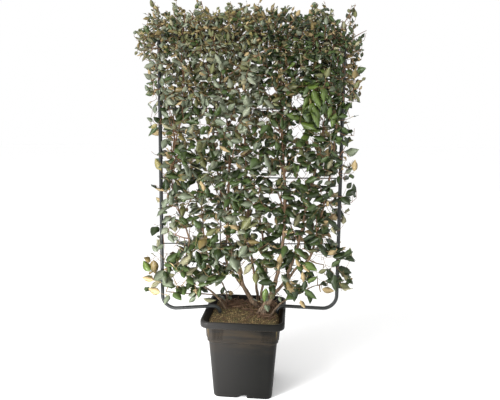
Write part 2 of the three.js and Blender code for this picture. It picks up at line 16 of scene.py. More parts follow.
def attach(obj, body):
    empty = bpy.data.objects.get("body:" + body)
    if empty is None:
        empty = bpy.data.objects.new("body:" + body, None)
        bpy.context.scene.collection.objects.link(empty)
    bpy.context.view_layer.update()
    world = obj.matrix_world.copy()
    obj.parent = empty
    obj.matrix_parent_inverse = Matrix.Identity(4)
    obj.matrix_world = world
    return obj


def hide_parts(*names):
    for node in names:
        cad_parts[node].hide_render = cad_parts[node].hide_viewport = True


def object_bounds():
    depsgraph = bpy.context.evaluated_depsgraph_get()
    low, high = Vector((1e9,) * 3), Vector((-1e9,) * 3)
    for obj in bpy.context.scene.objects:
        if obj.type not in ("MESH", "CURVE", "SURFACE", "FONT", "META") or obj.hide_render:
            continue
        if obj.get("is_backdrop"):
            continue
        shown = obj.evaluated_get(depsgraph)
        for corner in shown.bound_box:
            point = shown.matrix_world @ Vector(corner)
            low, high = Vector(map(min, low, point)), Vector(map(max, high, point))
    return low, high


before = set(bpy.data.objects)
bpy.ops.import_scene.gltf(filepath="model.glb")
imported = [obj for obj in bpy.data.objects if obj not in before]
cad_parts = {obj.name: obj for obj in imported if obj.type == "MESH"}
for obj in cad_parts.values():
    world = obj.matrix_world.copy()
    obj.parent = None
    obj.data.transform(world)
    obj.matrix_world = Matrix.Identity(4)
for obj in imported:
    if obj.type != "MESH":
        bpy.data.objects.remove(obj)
cad_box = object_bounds()
MM = 0.001
print("CAD nodes:", len(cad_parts))

# %% [markdown]
# ## The camera
# A picture of an object is only comparable when the eye stands where it stood. The viewpoint
# was found by fitting the pot's corners and the frame's tubes. It stands 2 m in front of the
# panel, at about the height of its upper third, and looks down by 9 degrees. Its roll of half
# a degree is why a matrix is used and not a plain rotation.

# %% Camera
LENS, SENSOR = 36.0, 36.0
EYE = Vector((-0.042, -2.020, 1.1295))
PITCH, YAW, ROLL = (math.radians(v) for v in (9.11, -1.10, -0.50))


def camera_matrix():
    level = math.cos(PITCH)
    ahead = Vector((-math.sin(YAW) * level, math.cos(YAW) * level, -math.sin(PITCH)))
    right = Vector((math.cos(YAW), math.sin(YAW), 0))
    down = ahead.cross(right)
    rolled = right * math.cos(ROLL) + down * math.sin(ROLL)
    low = down * math.cos(ROLL) - right * math.sin(ROLL)
    turned = Matrix((rolled, -low, -ahead)).transposed()
    return Matrix.Translation(EYE) @ turned.to_4x4()


def add_object(name, data):
    made = bpy.data.objects.new(name, data)
    bpy.context.scene.collection.objects.link(made)
    return made


camera = add_object("camera", bpy.data.cameras.new("camera"))
camera.data.lens = LENS
camera.data.sensor_width = SENSOR
camera.matrix_world = camera_matrix()
bpy.context.scene.camera = camera
print("camera stands at", tuple(round(v, 3) for v in EYE))

# %% [markdown]
# ## Colours and nodes
# Colours are chosen as sRGB hex values, as a paint chart gives them, and the shader needs
# them linear. One function does that for all of them, and another adds a node with its
# settings and links. The rest are steps of finishing: a grain, two tones, gloss and relief.

# %% Helpers for materials


def linear(hex_colour):
    values = [int(hex_colour[i : i + 2], 16) / 255 for i in (1, 3, 5)]
    return [v / 12.92 if v <= 0.04045 else ((v + 0.055) / 1.055) ** 2.4 for v in values] + [1.0]


def feed(node, inputs):
    """Gives a node its inputs: a hex colour, a number, or another node's output."""
    for name, value in inputs.items():
        if isinstance(value, bpy.types.NodeSocket):
            node.id_data.links.new(value, node.inputs[name])
        else:
            value = linear(value) if isinstance(value, str) else value
            node.inputs[name].default_value = value


def add_node(shader, kind, inputs=None, **settings):
    made = shader.id_data.nodes.new(kind)
    for name, value in settings.items():
        setattr(made, name, value)
    feed(made, inputs or {})
    return made


def new_material(name, colour, roughness, **others):
    material = bpy.data.materials.new(name)
    material.use_nodes = True
    shader = material.node_tree.nodes["Principled BSDF"]
    feed(shader, {"Base Color": colour, "Roughness": roughness})
    feed(shader, {socket.replace("_", " "): value for socket, value in others.items()})
    return material, shader


def grain(shader, scale, detail=3.0, stretch=(1, 1, 1)):
    """Noise on the object's own coordinates; scale is in cells a metre."""
    place = add_node(shader, "ShaderNodeTexCoord").outputs["Object"]
    mapped = add_node(shader, "ShaderNodeMapping", {"Vector": place, "Scale": stretch})
    inputs = {"Vector": mapped.outputs[0], "Scale": scale, "Detail": detail}
    return add_node(shader, "ShaderNodeTexNoise", inputs).outputs[0]


def own_axes(shader):
    """The object's own X, Y and Z in metres."""
    place = add_node(shader, "ShaderNodeTexCoord").outputs["Object"]
    return add_node(shader, "ShaderNodeSeparateXYZ", {"Vector": place}).outputs


def tones(shader, value, low, high, span=(0.0, 1.0), most=1.0):
    """A colour that goes from low towards high while a value crosses its span."""
    inputs = {"Value": value, "From Min": span[0], "From Max": span[1], "To Max": most}
    inputs = {"Factor": add_node(shader, "ShaderNodeMapRange", inputs).outputs[0], 6: low, 7: high}
    return add_node(shader, "ShaderNodeMix", inputs, data_type="RGBA").outputs[2]


def vary_gloss(shader, low, high, *pattern):
    """Lets the roughness wander between two values with a grain."""
    inputs = {"Value": grain(shader, *pattern), "From Min": 0.3, "From Max": 0.7}
    inputs.update({"To Min": low, "To Max": high})
    feed(shader, {"Roughness": add_node(shader, "ShaderNodeMapRange", inputs).outputs[0]})


def press_grain(shader, depth, strength, *pattern):
    """Presses a grain into the light of the surface; depth is in metres."""
    inputs = {"Height": grain(shader, *pattern), "Distance": depth, "Strength": strength}
    feed(shader, {"Normal": add_node(shader, "ShaderNodeBump", inputs).outputs[0]})


# %% [markdown]
# ## Finishes of the hard parts
# The pot is injection moulded from recycled polypropylene. Carbon makes it near black, the
# mould's fine grain makes its gloss soft, its colour is painted lighter on the left, where
# the light falls, and the collar keeps a film of soil dust, whose brown band is also a painted
# reflection of the soil. The frame is steel tube under a baked powder coat, anthracite and
# faintly rippled like orange peel.

# %% Pot plastic
plastic, shader = new_material(
    "moulded polypropylene", "#1c1c1a", 0.4, IOR=1.49, Specular_IOR_Level=0.12
)
across, _, height = own_axes(shader)
# soil dust on the collar, and also a painted brownish reflection of the soil: a band by height that fades on
# the rim, broken up by grain
dust_and_sheen = 1.0
for value, start, end, at_start, at_end in (
    (height, 0.185, 0.275, 0.0, 0.62),
    (height, 0.303, 0.318, 1.0, 0.03),
    (grain(shader, 11, 3.0, (1, 1, 7)), 0.35, 0.65, 0.1, 1.0),
):
    inputs = {"Value": value, "From Min": start, "From Max": end, "To Min": at_start}
    inputs["To Max"] = at_end
    inputs = {0: dust_and_sheen, 1: add_node(shader, "ShaderNodeMapRange", inputs).outputs[0]}
    dust_and_sheen = add_node(shader, "ShaderNodeMath", inputs, operation="MULTIPLY").outputs[0]
clean = tones(shader, grain(shader, 9), "#0f0f0e", "#171715")
# painted light: the plastic is lighter towards its left side, where the light falls
clean = tones(shader, across, "#282726", clean, (-0.17, 0.04))
feed(shader, {"Base Color": tones(shader, dust_and_sheen, clean, "#372e22")})
vary_gloss(shader, 0.33, 0.46, 60, 2.0, (1, 1, 0.15))
press_grain(shader, 0.0002, 0.35, 900, 2.0)

# %% Powder-coated steel
steel, shader = new_material("powder-coated steel", "#212424", 0.42, IOR=1.45)
feed(shader, {"Base Color": tones(shader, grain(shader, 40, 4.0), "#1b1e1e", "#2c2f2e")})
vary_gloss(shader, 0.36, 0.52, 120, 2.0)
press_grain(shader, 0.0002, 0.3, 700, 1.0)

# %% Black band of the tie
vinyl, shader = new_material("soft black vinyl", "#15171a", 0.5, IOR=1.53)
vary_gloss(shader, 0.4, 0.6, 300)
press_grain(shader, 0.0001, 0.4, 1500, 1.0)
print("hard finishes: pot, frame, tie")

# %% [markdown]
# ## Steps of modelling
# Each piece starts as a primitive whose place goes into its mesh. It is shaped in edit mode,
# its doubles are merged, its normals are turned outwards, and at last it gets its material and
# its body, and the CAD nodes that it stands for are hidden. These steps recur, so each of
# them is one function.

# %% Helpers for meshes


def pick(*pieces):
    """Selects these pieces only and makes the first one active."""
    bpy.ops.object.select_all(action="DESELECT")
    for piece in pieces:
        piece.select_set(True)
    bpy.context.view_layer.objects.active = pieces[0]


def start_piece(name, operator, **options):
    bpy.ops.object.select_all(action="DESELECT")
    operator(**options)
    piece = bpy.context.object
    piece.name = name
    bpy.ops.object.transform_apply(location=True, rotation=True, scale=True)
    return piece


def edit_all():
    bpy.ops.object.mode_set(mode="EDIT")
    bpy.ops.mesh.select_all(action="SELECT")


def extrude_by(step):
    bpy.ops.mesh.extrude_region_move(TRANSFORM_OT_translate={"value": [v * MM for v in step]})


def close_normals(merge=1e-6):
    bpy.ops.mesh.select_all(action="SELECT")
    bpy.ops.mesh.remove_doubles(threshold=merge)
    bpy.ops.mesh.normals_make_consistent(inside=False)
    bpy.ops.object.mode_set(mode="OBJECT")


def apply_modifier(piece, kind, **settings):
    pick(piece)
    made = piece.modifiers.new(kind.lower(), kind)
    for name, value in settings.items():
        setattr(made, name, value)
    bpy.ops.object.modifier_apply(modifier=made.name)


def rounded_block(name, size, place=(0, 0, 0), turn=(0, 0, 0)):
    block = start_piece(
        name,
        bpy.ops.mesh.primitive_cube_add,
        size=1,
        scale=[v * MM for v in size],
        location=[v * MM for v in place],
        rotation=turn,
    )
    edit_all()
    bpy.ops.mesh.bevel(offset=0.7 * MM, segments=2, affect="EDGES")
    bpy.ops.object.mode_set(mode="OBJECT")
    return block


def finish_piece(piece, material, slot, *nodes, angle=32):
    """Shades a piece, gives it its material and hides the CAD nodes that it stands for."""
    piece.data.materials.clear()
    piece.data.materials.append(material)
    pick(piece)
    bpy.ops.object.shade_smooth_by_angle(angle=math.radians(angle))
    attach(piece, "root")
    if nodes:
        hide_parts(*nodes)


# %% [markdown]
# ## The pot
# The pot is a thin shell with a square plan and rounded corners. It is drawn as a potter
# would turn it: from a plane with bevelled corners, the outline is extruded and scaled from
# step to step, up the outside, over the rolled rim and down inside. One list of half widths
# and heights holds all of its form.

# %% Pot shell
POT_X, POT_TURN, POT_CORNER = -18.0, math.radians(-6.2), 27.0
POT_OUTSIDE = [
    (118.5, 0), (120.3, 0.8), (121.4, 2.6), (121.7, 5), (130, 122), (138.6, 240), (138.9, 243.4),
    (139.8, 245), (142.6, 246.4), (144, 248), (144.5, 252), (146.6, 282), (148.8, 310),
    (149.6, 312.6), (153, 313.6), (165.5, 314.4), (167.6, 315.6), (168.6, 318), (169, 322),
    (169, 334), (168.4, 337.6), (166.8, 340), (164.4, 341), (161.6, 341), (159.4, 340.2),
    (157.9, 338), (157.2, 334),
]
POT_INSIDE = [(150.5, 316), (146.4, 308), (141.6, 250), (136.4, 243), (119, 20)]


def point_in_pot(x, y, z):
    turned = Matrix.Rotation(POT_TURN, 3, "Z") @ Vector((x, y, z))
    return (turned + Vector((POT_X, 0, 0))) * MM


pot = start_piece(
    "nursery_pot",
    bpy.ops.mesh.primitive_plane_add,
    size=2 * POT_OUTSIDE[0][0] * MM,
    location=(POT_X * MM, 0, 0),
    rotation=(0, 0, POT_TURN),
)
edit_all()
bpy.ops.mesh.bevel(offset=POT_CORNER * MM, segments=10, affect="VERTICES")
outline = POT_OUTSIDE + POT_INSIDE
for (half, z), (next_half, next_z) in zip(outline, outline[1:]):
    extrude_by((0, 0, next_z - z))
    share, centre = next_half / half, (POT_X * MM, 0, next_z * MM)
    bpy.ops.transform.resize(value=(share, share, 1), center_override=centre)
close_normals()
print("pot shell:", len(pot.data.polygons), "faces")

# %% [markdown]
# Under the floor, a cross channel lets water out on all four sides, and its ends show as
# notches in the lower edge. Each is cut by a long block with sloping sides.

# %% Drain channels
CHANNEL_FOOT, CHANNEL_TOP, CHANNEL_HIGH, BELOW = 46.0, 33.0, 15.0, 5
for turn in (0, math.pi / 2):
    cutter = start_piece(
        "channel_cutter",
        bpy.ops.mesh.primitive_cube_add,
        size=1,
        scale=(CHANNEL_FOOT * MM, 0.4, (CHANNEL_HIGH + BELOW) * MM),
        location=(0, 0, (CHANNEL_HIGH - BELOW) / 2 * MM),
    )
    for vertex in cutter.data.vertices:
        if vertex.co.z > 0:
            vertex.co.x *= CHANNEL_TOP / CHANNEL_FOOT
    cutter.data.transform(Matrix.Rotation(POT_TURN + turn, 4, "Z"))
    cutter.data.transform(Matrix.Translation((POT_X * MM, 0, 0)))
    apply_modifier(pot, "BOOLEAN", operation="DIFFERENCE", object=cutter)
    bpy.data.objects.remove(cutter)
print("pot with channels:", len(pot.data.polygons), "faces")

# %% [markdown]
# Near its corners, the collar has short upright grip ribs. One rib is modelled, and copies
# of it stand side by side on all four walls, leaning as the collar does.

# %% Grip ribs
RIB_PITCH, RIBS, RIB_FROM, RIB_TO = 5.6, 8, 259.0, 303.0
OUTER_RIB, RIB_DEPTH = 117, -145.5
rib = rounded_block("rib", (2.8, 6.0, RIB_TO - RIB_FROM))
lean = Matrix.Rotation(math.atan2(4.9, 63), 4, "X")
shift = Matrix.Translation((POT_X * MM, 0, 0))
copies = []
for wall in range(4):
    turn = Matrix.Rotation(POT_TURN + wall * math.pi / 2, 4, "Z")
    for side in (-1, 1):
        for k in range(RIBS):
            spot = (side * (OUTER_RIB - k * RIB_PITCH), RIB_DEPTH, (RIB_FROM + RIB_TO) / 2)
            copies.append(add_object("rib_copy", rib.data.copy()))
            spot = Matrix.Translation(Vector(spot) * MM)
            copies[-1].data.transform(shift @ turn @ spot @ lean)
bpy.data.objects.remove(rib)
pick(pot, *copies)
bpy.ops.object.join()
finish_piece(pot, plastic, "pot_plastic", "pot")
print("grip ribs:", len(copies))

# %% [markdown]
# ## The soil
# Potting mix is bark, peat and coir. It lies in a low mound, and its top is a crust of crumbs
# and chips in tan, brown and some mossy green. The mound is a grid whose heights follow the
# CAD mound with small hummocks, and the crumbs are small eight-sided stones.

# %% Soil mound
SOIL_EDGE, SOIL_TOP, SOIL_HALF, SOIL_FLAT, SOIL_FOOT = 303.0, 322.0, 147.0, 128.0, 262.0
potting_mix, shader = new_material("damp potting mix", "#3d2f1e", 0.95)
damp = tones(shader, grain(shader, 160, 5.0), "#1f1810", "#6f5936")
mossy = tones(shader, grain(shader, 22, 2.0), damp, "#4c4a2b", (0.5, 0.62), 0.7)
feed(shader, {"Base Color": mossy})
press_grain(shader, 0.003, 0.9, 420, 4.0)


def ripple(x, y):
    """Smooth hummocks between -1 and 1 from a few crossed waves."""
    broad = np.sin(x / 17.0 + 1.3) * np.cos(y / 13.0)
    return (broad + 0.6 * np.sin((x + y) / 7.3) * np.cos((x - y) / 9.1)) / 1.6


def soil_height(x, y):
    """Height of the mound in the pot's own axes."""
    out = np.maximum(np.abs(x), np.abs(y))
    share = np.clip((SOIL_HALF - out) / (SOIL_HALF - SOIL_FLAT), 0, 1)
    return SOIL_EDGE + (SOIL_TOP - SOIL_EDGE) * (1 - (1 - share) ** 1.6) + 2.2 * ripple(x, y)


soil = start_piece(
    "potting_soil",
    bpy.ops.mesh.primitive_grid_add,
    x_subdivisions=110,
    y_subdivisions=110,
    size=2 * SOIL_HALF * MM,
)
edit_all()
extrude_by((0, 0, 40))
close_normals()
random = np.random.default_rng(11)
places = np.array([v.co for v in soil.data.vertices]) / MM
upper = places[:, 2] > 20
corner = np.minimum(np.abs(places[:, 0]), np.abs(places[:, 1])) / SOIL_HALF
places[:, :2] *= (1 - 0.045 * corner**6)[:, None]
heights = soil_height(places[:, 0], places[:, 1]) + random.normal(0, 0.8, len(places))
places[:, 2] = np.where(upper, heights, SOIL_FOOT)
places[~upper, :2] *= 0.965
for vertex, spot in zip(soil.data.vertices, places):
    vertex.co = point_in_pot(*spot)
finish_piece(soil, potting_mix, "soil_mix", "soil", angle=60)
print("soil mound:", len(soil.data.polygons), "faces")

# %% [markdown]
# Meshes of many small things are made from arrays: every crumb, twig and leaf is one copy of
# a small pattern of points, and NumPy places them all at once. This function turns such
# arrays of points and triangles into one mesh.

# %% Mesh from arrays


def mesh_piece(name, points, triangles, materials, which=None, smooth=True):
    mesh = bpy.data.meshes.new(name)
    mesh.vertices.add(len(points))
    mesh.vertices.foreach_set("co", (np.asarray(points) * MM).ravel())
    mesh.loops.add(triangles.size)
    mesh.loops.foreach_set("vertex_index", triangles.ravel().astype(np.int32))
    mesh.polygons.add(len(triangles))
    mesh.polygons.foreach_set("loop_start", np.arange(0, triangles.size, 3, dtype=np.int32))
    for material in materials:
        mesh.materials.append(material)
    if which is not None:
        mesh.polygons.foreach_set("material_index", which.astype(np.int32))
    mesh.polygons.foreach_set("use_smooth", np.full(len(triangles), smooth))
    mesh.update(calc_edges=True)
    mesh.validate()
    piece = add_object(name, mesh)
    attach(piece, "root")
    return piece


def copies_of(triangles, points, count):
    """The triangles of a pattern with so many points, repeated for each copy."""
    return (triangles[None] + np.arange(count)[:, None, None] * points).reshape(-1, 3)


# %% Soil crumbs
CRUMBS, CRUMB_REACH = 4200, 143
CRUMB_KINDS = [
    ("tan chip", "#a08a5e", 0.42), ("brown chip", "#624d33", 0.26), ("dark chip", "#2b2017", 0.2),
    ("moss tuft", "#5f5f36", 0.12),
]
octahedron = np.vstack([np.eye(3)[k] * sign for k in range(3) for sign in (1, -1)])
octahedron_faces = np.array([
    (0, 2, 4), (2, 1, 4), (1, 3, 4), (3, 0, 4), (2, 0, 5), (1, 2, 5), (3, 1, 5), (0, 3, 5),
])
crumb_materials = []
for name, colour, _ in CRUMB_KINDS:
    material, shader = new_material(name, colour, 0.9)
    press_grain(shader, 0.0005, 0.6, 900, 2.0)
    crumb_materials.append(material)

random = np.random.default_rng(23)
spots = random.uniform(-CRUMB_REACH, CRUMB_REACH, (CRUMBS, 2))
sizes = random.uniform(0.7, 2.6, CRUMBS) * random.choice([1, 1, 1, 1.7], CRUMBS)
widths, heights = (sizes * random.uniform(*span, CRUMBS) for span in ((0.4, 0.9), (0.25, 0.6)))
local = octahedron[None] * np.stack([sizes, widths, heights], 1)[:, None, :]
# one set of three square unit axes turns each crumb its own way
first = random.normal(size=(CRUMBS, 3))
first /= np.linalg.norm(first, axis=1, keepdims=True)
second = np.cross(first, random.normal(size=(CRUMBS, 3)))
second /= np.linalg.norm(second, axis=1, keepdims=True)
local = np.einsum("nvi,nij->nvj", local, np.stack([first, second, np.cross(first, second)], 1))
local[..., :2] += spots[:, None]
local[..., 2] += soil_height(spots[:, 0], spots[:, 1])[:, None] + 0.6
x, y, z = local.reshape(-1, 3).T
cosine, sine = math.cos(POT_TURN), math.sin(POT_TURN)
mesh_piece(
    "soil_crumbs",
    np.stack([x * cosine - y * sine + POT_X, x * sine + y * cosine, z], 1),
    copies_of(octahedron_faces, 6, CRUMBS),
    crumb_materials,
    np.repeat(random.choice(4, CRUMBS, p=[share for _, _, share in CRUMB_KINDS]), 8),
    smooth=False,
)
print("crumbs:", CRUMBS)

# %% [markdown]
# Dry twigs and leaf stalks have dropped on the soil behind and between the stems. Each lies
# as a short bent line, and a curve with a round bevel turns them all into thin sticks. The
# stems are made by the same function later on.

# %% Dry litter
dry_twig, shader = new_material("dry dropped twig", "#4a382b", 0.85)
feed(shader, {"Base Color": tones(shader, grain(shader, 60), "#2b2019", "#8a6a50")})
press_grain(shader, 0.0002, 0.4, 700, 1.0)


def round_lines(name, lines, resolution):
    """A mesh of round sticks from lines of points in metres and radii in millimetres."""
    curve = bpy.data.curves.new(name, "CURVE")
    curve.dimensions = "3D"
    curve.bevel_depth = MM
    curve.bevel_resolution = resolution
    curve.use_fill_caps = True
    for points, radii in lines:
        spline = curve.splines.new("POLY")
        spline.points.add(len(points) - 1)
        spline.points.foreach_set("co", np.insert(np.array(points), 3, 1, axis=1).ravel())
        spline.points.foreach_set("radius", radii)
    pick(add_object(name, curve))
    bpy.ops.object.convert(target="MESH")
    bpy.ops.object.mode_set(mode="EDIT")
    return bpy.context.object


# middle x and y on the pot's own axes, spread, and how many lie there
LITTER = [(-74, 90, 24, 80), (20, 76, 42, 50), (98, 66, 20, 40), (78, -24, 28, 36)]
MIDDLE_REACH, STICK_REACH, STICK_TAPER = 118, 128, np.array([1.0, 0.95, 0.8, 0.5])
random = np.random.default_rng(41)
sticks = []
for middle_x, middle_y, spread, count in LITTER:
    for _ in range(count):
        middle = random.normal((middle_x, middle_y), spread)
        x, y = np.clip(middle, -MIDDLE_REACH, MIDDLE_REACH)
        heading, turn = random.uniform(0, 6.28), random.uniform(-1.1, 1.1)
        length, rise = random.uniform(20, 66), random.uniform(0, 26)
        spots = []
        for share in (0.0, 0.33, 0.67, 1.0):
            away = length * (share - 0.5)
            px = np.clip(x + away * math.cos(heading + turn * share), -STICK_REACH, STICK_REACH)
            py = np.clip(y + away * math.sin(heading + turn * share), -STICK_REACH, STICK_REACH)
            spots.append(point_in_pot(px, py, soil_height(px, py) + 1.5 + rise * share))
        sticks.append((spots, random.uniform(0.8, 2.2) * STICK_TAPER))
litter = round_lines("dry_litter", sticks, 1)
close_normals(0)
finish_piece(litter, dry_twig, "bark", angle=50)
print("litter sticks:", len(sticks))

# %% [markdown]
# ## The tube frame
# The frame is one length of 15 mm tube a side. A bending machine turned it out of the soil,
# over the rim, out under the crown and up at the corner. The mesh is made the same way: a
# ring is extruded along each straight and spun about the centre of each bend.

# %% Bent tubes
TUBE, FOOT_HALF, TOP_HALF = 15.0, 367.5, 361.5
ARM_Z, RIM_Z, CORNER_BEND, BAR_Z = 341.5, 351.0, 57.0, 1448.0
LEG_BEND, LEG_X, LEG_LEAN, LEG_END = 30.0, {-1: -156.0, 1: 146.0}, math.radians(8), 160.0


def start_ring(name, vertices, radius, place, turn):
    """A filled circle in edit mode, ready to be extruded."""
    options = dict(vertices=vertices, radius=radius * MM, fill_type="NGON")
    options.update(location=place * MM, rotation=turn)
    ring = start_piece(name, bpy.ops.mesh.primitive_circle_add, **options)
    edit_all()
    return ring


def bend_tube(x, z, angle, steps):
    centre = (x * MM, 0, z * MM)
    bpy.ops.mesh.spin(steps=steps, angle=-angle, center=centre, axis=(0, 1, 0))


for name, side in (("left", -1), ("right", 1)):
    bend_x, bend_z = LEG_X[side], RIM_Z - LEG_BEND
    lean = Vector((-side * math.cos(LEG_LEAN), 0, math.sin(LEG_LEAN)))
    bend_end = Vector((bend_x, 0, bend_z)) + lean * LEG_BEND
    leg = Vector((-side * math.sin(LEG_LEAN), 0, -math.cos(LEG_LEAN)))
    leg *= (bend_end.z - LEG_END) / math.cos(LEG_LEAN)
    turn = (0, side * LEG_LEAN, 0)
    tube = start_ring("bent_tube_" + name, 28, TUBE / 2, bend_end + leg, turn)
    extrude_by(-leg)
    bend_tube(bend_x, bend_z, side * (math.pi / 2 - LEG_LEAN), 12)
    corner_x = side * (FOOT_HALF - CORNER_BEND)
    extrude_by((corner_x - bend_x, 0, ARM_Z - RIM_Z))
    bend_tube(corner_x, ARM_Z + CORNER_BEND, -side * math.pi / 2, 16)
    extrude_by((side * (TOP_HALF - FOOT_HALF), 0, BAR_Z - TUBE / 2 - ARM_Z - CORNER_BEND))
    close_normals()
    nodes = ["frame_" + part + name for part in ("upright_", "corner_", "arm_")]
    finish_piece(tube, steel, "frame_paint", *nodes)
    print(tube.name, *([round(v, 3) for v in tube.bound_box[k]] for k in (0, 6)))

# %% [markdown]
# The top bar closes the frame, and five thin rods are welded to it: three across and two
# upright. Each cross rod swells at its ends into the bead of its weld.

# %% Top bar and rods
ROD, BAY, FIRST_Z, ROD_X, OVERHANG = 5.0, 275.0, 347.0, 125.0, 6.0
BEAD, SUNK_ACROSS, SUNK_UPRIGHT, BAR_EDGE = 4.0, 0.8, 1.5, 0.9


def welded_bar(name, node, start, end, radius, bead):
    """A round bar that has the radius of its bead at both ends."""
    start, end = Vector(start), Vector(end)
    length, along = (end - start).length, (end - start).normalized()
    turn = Vector((0, 0, 1)).rotation_difference(along).to_euler()
    bar = start_ring(name, 24, bead, start, turn)
    stations = [(0.6, bead * 0.98), (1.4, (bead + radius) / 2), (2.2, radius)]
    stations += [(length - at, size) for at, size in reversed(stations)] + [(length, bead)]
    at, size = 0.0, bead
    for next_at, next_size in stations:
        extrude_by(along * (next_at - at))
        centre = (start + along * next_at) * MM
        bpy.ops.transform.resize(value=[next_size / size] * 3, center_override=centre)
        at, size = next_at, next_size
    close_normals()
    finish_piece(bar, steel, "frame_paint", node)


def upright_half(z):
    return FOOT_HALF + (TOP_HALF - FOOT_HALF) * (z - ARM_Z) / (BAR_Z - ARM_Z)


bar_half = TOP_HALF + TUBE / 2
bar_ends = (-bar_half, 0, BAR_Z), (bar_half, 0, BAR_Z)
welded_bar("top_bar", "frame_top_bar", *bar_ends, TUBE / 2, TUBE / 2 - BAR_EDGE)
for level in (1, 2, 3):
    z = FIRST_Z + BAY * level
    half = upright_half(z) - TUBE / 2 + SUNK_ACROSS
    ends = (-half, 0, z), (half, 0, z)
    welded_bar(f"cross_rod_{level}", f"rod_across_{level}", *ends, ROD / 2, BEAD)
for name, side in (("left", -1), ("right", 1)):
    foot = (side * ROD_X, ROD, FIRST_Z + BAY - ROD / 2 - OVERHANG)
    head = (side * ROD_X, ROD, BAR_Z - TUBE / 2 + SUNK_UPRIGHT)
    welded_bar("upright_rod_" + name, "rod_upright_" + name, foot, head, ROD / 2, ROD / 2 + 0.01)
print("rods welded to the frame: 5")

# %% [markdown]
# A soft band ties the plant's top to the bar. It is a short ring with rounded edges, and a
# small block and a cut tail where it locks.

# %% Tie band
TIE_X, TIE_INNER, TIE_OUTER, TIE_LONG = -178.0, 7.6, 9.6, 11.0
# size and place of the block and of the tail
LOCK = [((9, 6, 5), (0, -10.5, 3)), ((5, 2, 13), (1, -12.5, -6))]
tie = start_piece(
    "tie_band",
    bpy.ops.mesh.primitive_cylinder_add,
    vertices=32,
    radius=TIE_OUTER * MM,
    depth=TIE_LONG * MM,
    end_fill_type="NOTHING",
    location=(TIE_X * MM, 0, BAR_Z * MM),
    rotation=(0, math.pi / 2, 0),
)
apply_modifier(tie, "SOLIDIFY", thickness=(TIE_OUTER - TIE_INNER) * MM, offset=-1)
apply_modifier(tie, "BEVEL", width=0.5 * MM, segments=2)
locks = []
for size, (x, y, z) in LOCK:
    locks.append(rounded_block("lock", size, (TIE_X + x, y, BAR_Z + z), (0.35, 0, 0)))
pick(tie, *locks)
bpy.ops.object.join()
finish_piece(tie, vinyl, "tie_band", "tie_clip")
print("tie band at x", TIE_X)

# %% [markdown]
# ## The stems
# Ten stems rise from the soil in a fan, and each follows the same smooth line as its CAD
# node: through the places that it passes, settling to its depth in the panel. The table is
# the CAD's own, in millimetres.

# %% Stem table
# x and y of the foot, settled depth, thickness at foot and tip, and the places passed
STEMS = {
    "stem_far_left": (-104, 46, -15, 8.5, 4.5, [
        (-148, 390), (-206, 447), (-266, 535), (-253, 649), (-297, 780), (-322, 940), (-270, 1177),
        (-266, 1396),
    ]),
    "stem_left": (-94, 80, 16, 7, 4, [
        (-107, 408), (-147, 480), (-173, 525), (-192, 650), (-206, 810),
    ]),
    "stem_mid_left": (16, 82, 30, 11, 5, [
        (-3, 362), (-40, 430), (-72, 480), (-101, 545), (-99, 707), (-128, 862), (-153, 1066),
        (-146, 1240), (-152, 1396),
    ]),
    "stem_main_left": (35, 62, 15, 17, 5.5, [
        (12, 357), (-24, 420), (-48, 506), (-73, 572), (-93, 700), (-87, 1026), (-102, 1150),
    ]),
    "stem_middle": (36, 98, 16, 12, 5, [
        (36, 360), (26, 433), (10, 528), (-7, 681), (-26, 1085), (-24, 1250),
    ]),
    "stem_mid_right": (57, 92, 20, 12.5, 5, [
        (52, 380), (58, 430), (66, 500), (66, 560), (27, 780), (15, 860), (22, 1020),
    ]),
    "stem_main_right": (39, -8, -15, 18, 5.5, [
        (60, 355), (97, 430), (119, 528), (136, 660), (137, 860), (117, 1149), (110, 1396),
    ]),
    "stem_right": (52, -34, -15, 15, 5, [
        (92, 400), (123, 438), (150, 481), (182, 575), (207, 668), (246, 876), (278, 1008),
        (284, 1130),
    ]),
    "shoot_low_left": (-120, 72, -13, 7, 4, [
        (-130, 368), (-180, 388), (-233, 399), (-303, 413), (-350, 418),
    ]),
    "shoot_low_right": (82, -46, -13, 8, 4, [(127, 377), (202, 413), (258, 440), (330, 458)]),
}
BOUGH_VIA = [
    (196, 527), (246, 566), (282, 717), (312, 863), (330, 1010), (340, 1200), (332, 1396),
]
BOUGH_HOST, FORK_Z, BOUGH_DEPTH, BOUGH_THICK = "stem_right", 462, -15, (11, 5)
STEP, SETTLE, FLARE, FLARE_LENGTH = 8.0, 250.0, 0.35, 22.0


def smooth_line(places):
    """Points a step apart on the smooth line through places (a Catmull-Rom curve)."""
    places = np.asarray(places, float)
    padded = np.vstack([2 * places[0] - places[1], places, 2 * places[-1] - places[-2]])
    dense = []
    t = np.linspace(0, 1, 60, endpoint=False)[:, None]
    for k in range(len(places) - 1):
        before, start, end, after = padded[k : k + 4]
        leave, arrive = (end - before) / 2, (after - start) / 2
        bend = (2 * start - 2 * end + leave + arrive) * t**3
        dense.append(start + leave * t + (3 * end - 3 * start - 2 * leave - arrive) * t**2 + bend)
    dense = np.vstack([*dense, places[-1:]])
    along = np.concatenate([[0], np.cumsum(np.linalg.norm(np.diff(dense, axis=0), axis=1))])
    even = np.linspace(0, along[-1], max(2, round(along[-1] / STEP) + 1))
    return np.stack([np.interp(even, along, dense[:, axis]) for axis in range(3)], 1), even


def limb_line(places, depth, thick, flare):
    points, along = smooth_line(places)
    share = np.clip(along / SETTLE, 0, 1)
    share = share * share * (3 - 2 * share)
    points[:, 1] = points[0, 1] + (depth - points[0, 1]) * share
    radii = (thick[0] + (thick[1] - thick[0]) * along / along[-1]) / 2
    return points, radii * (1 + flare * np.exp(-along / FLARE_LENGTH))


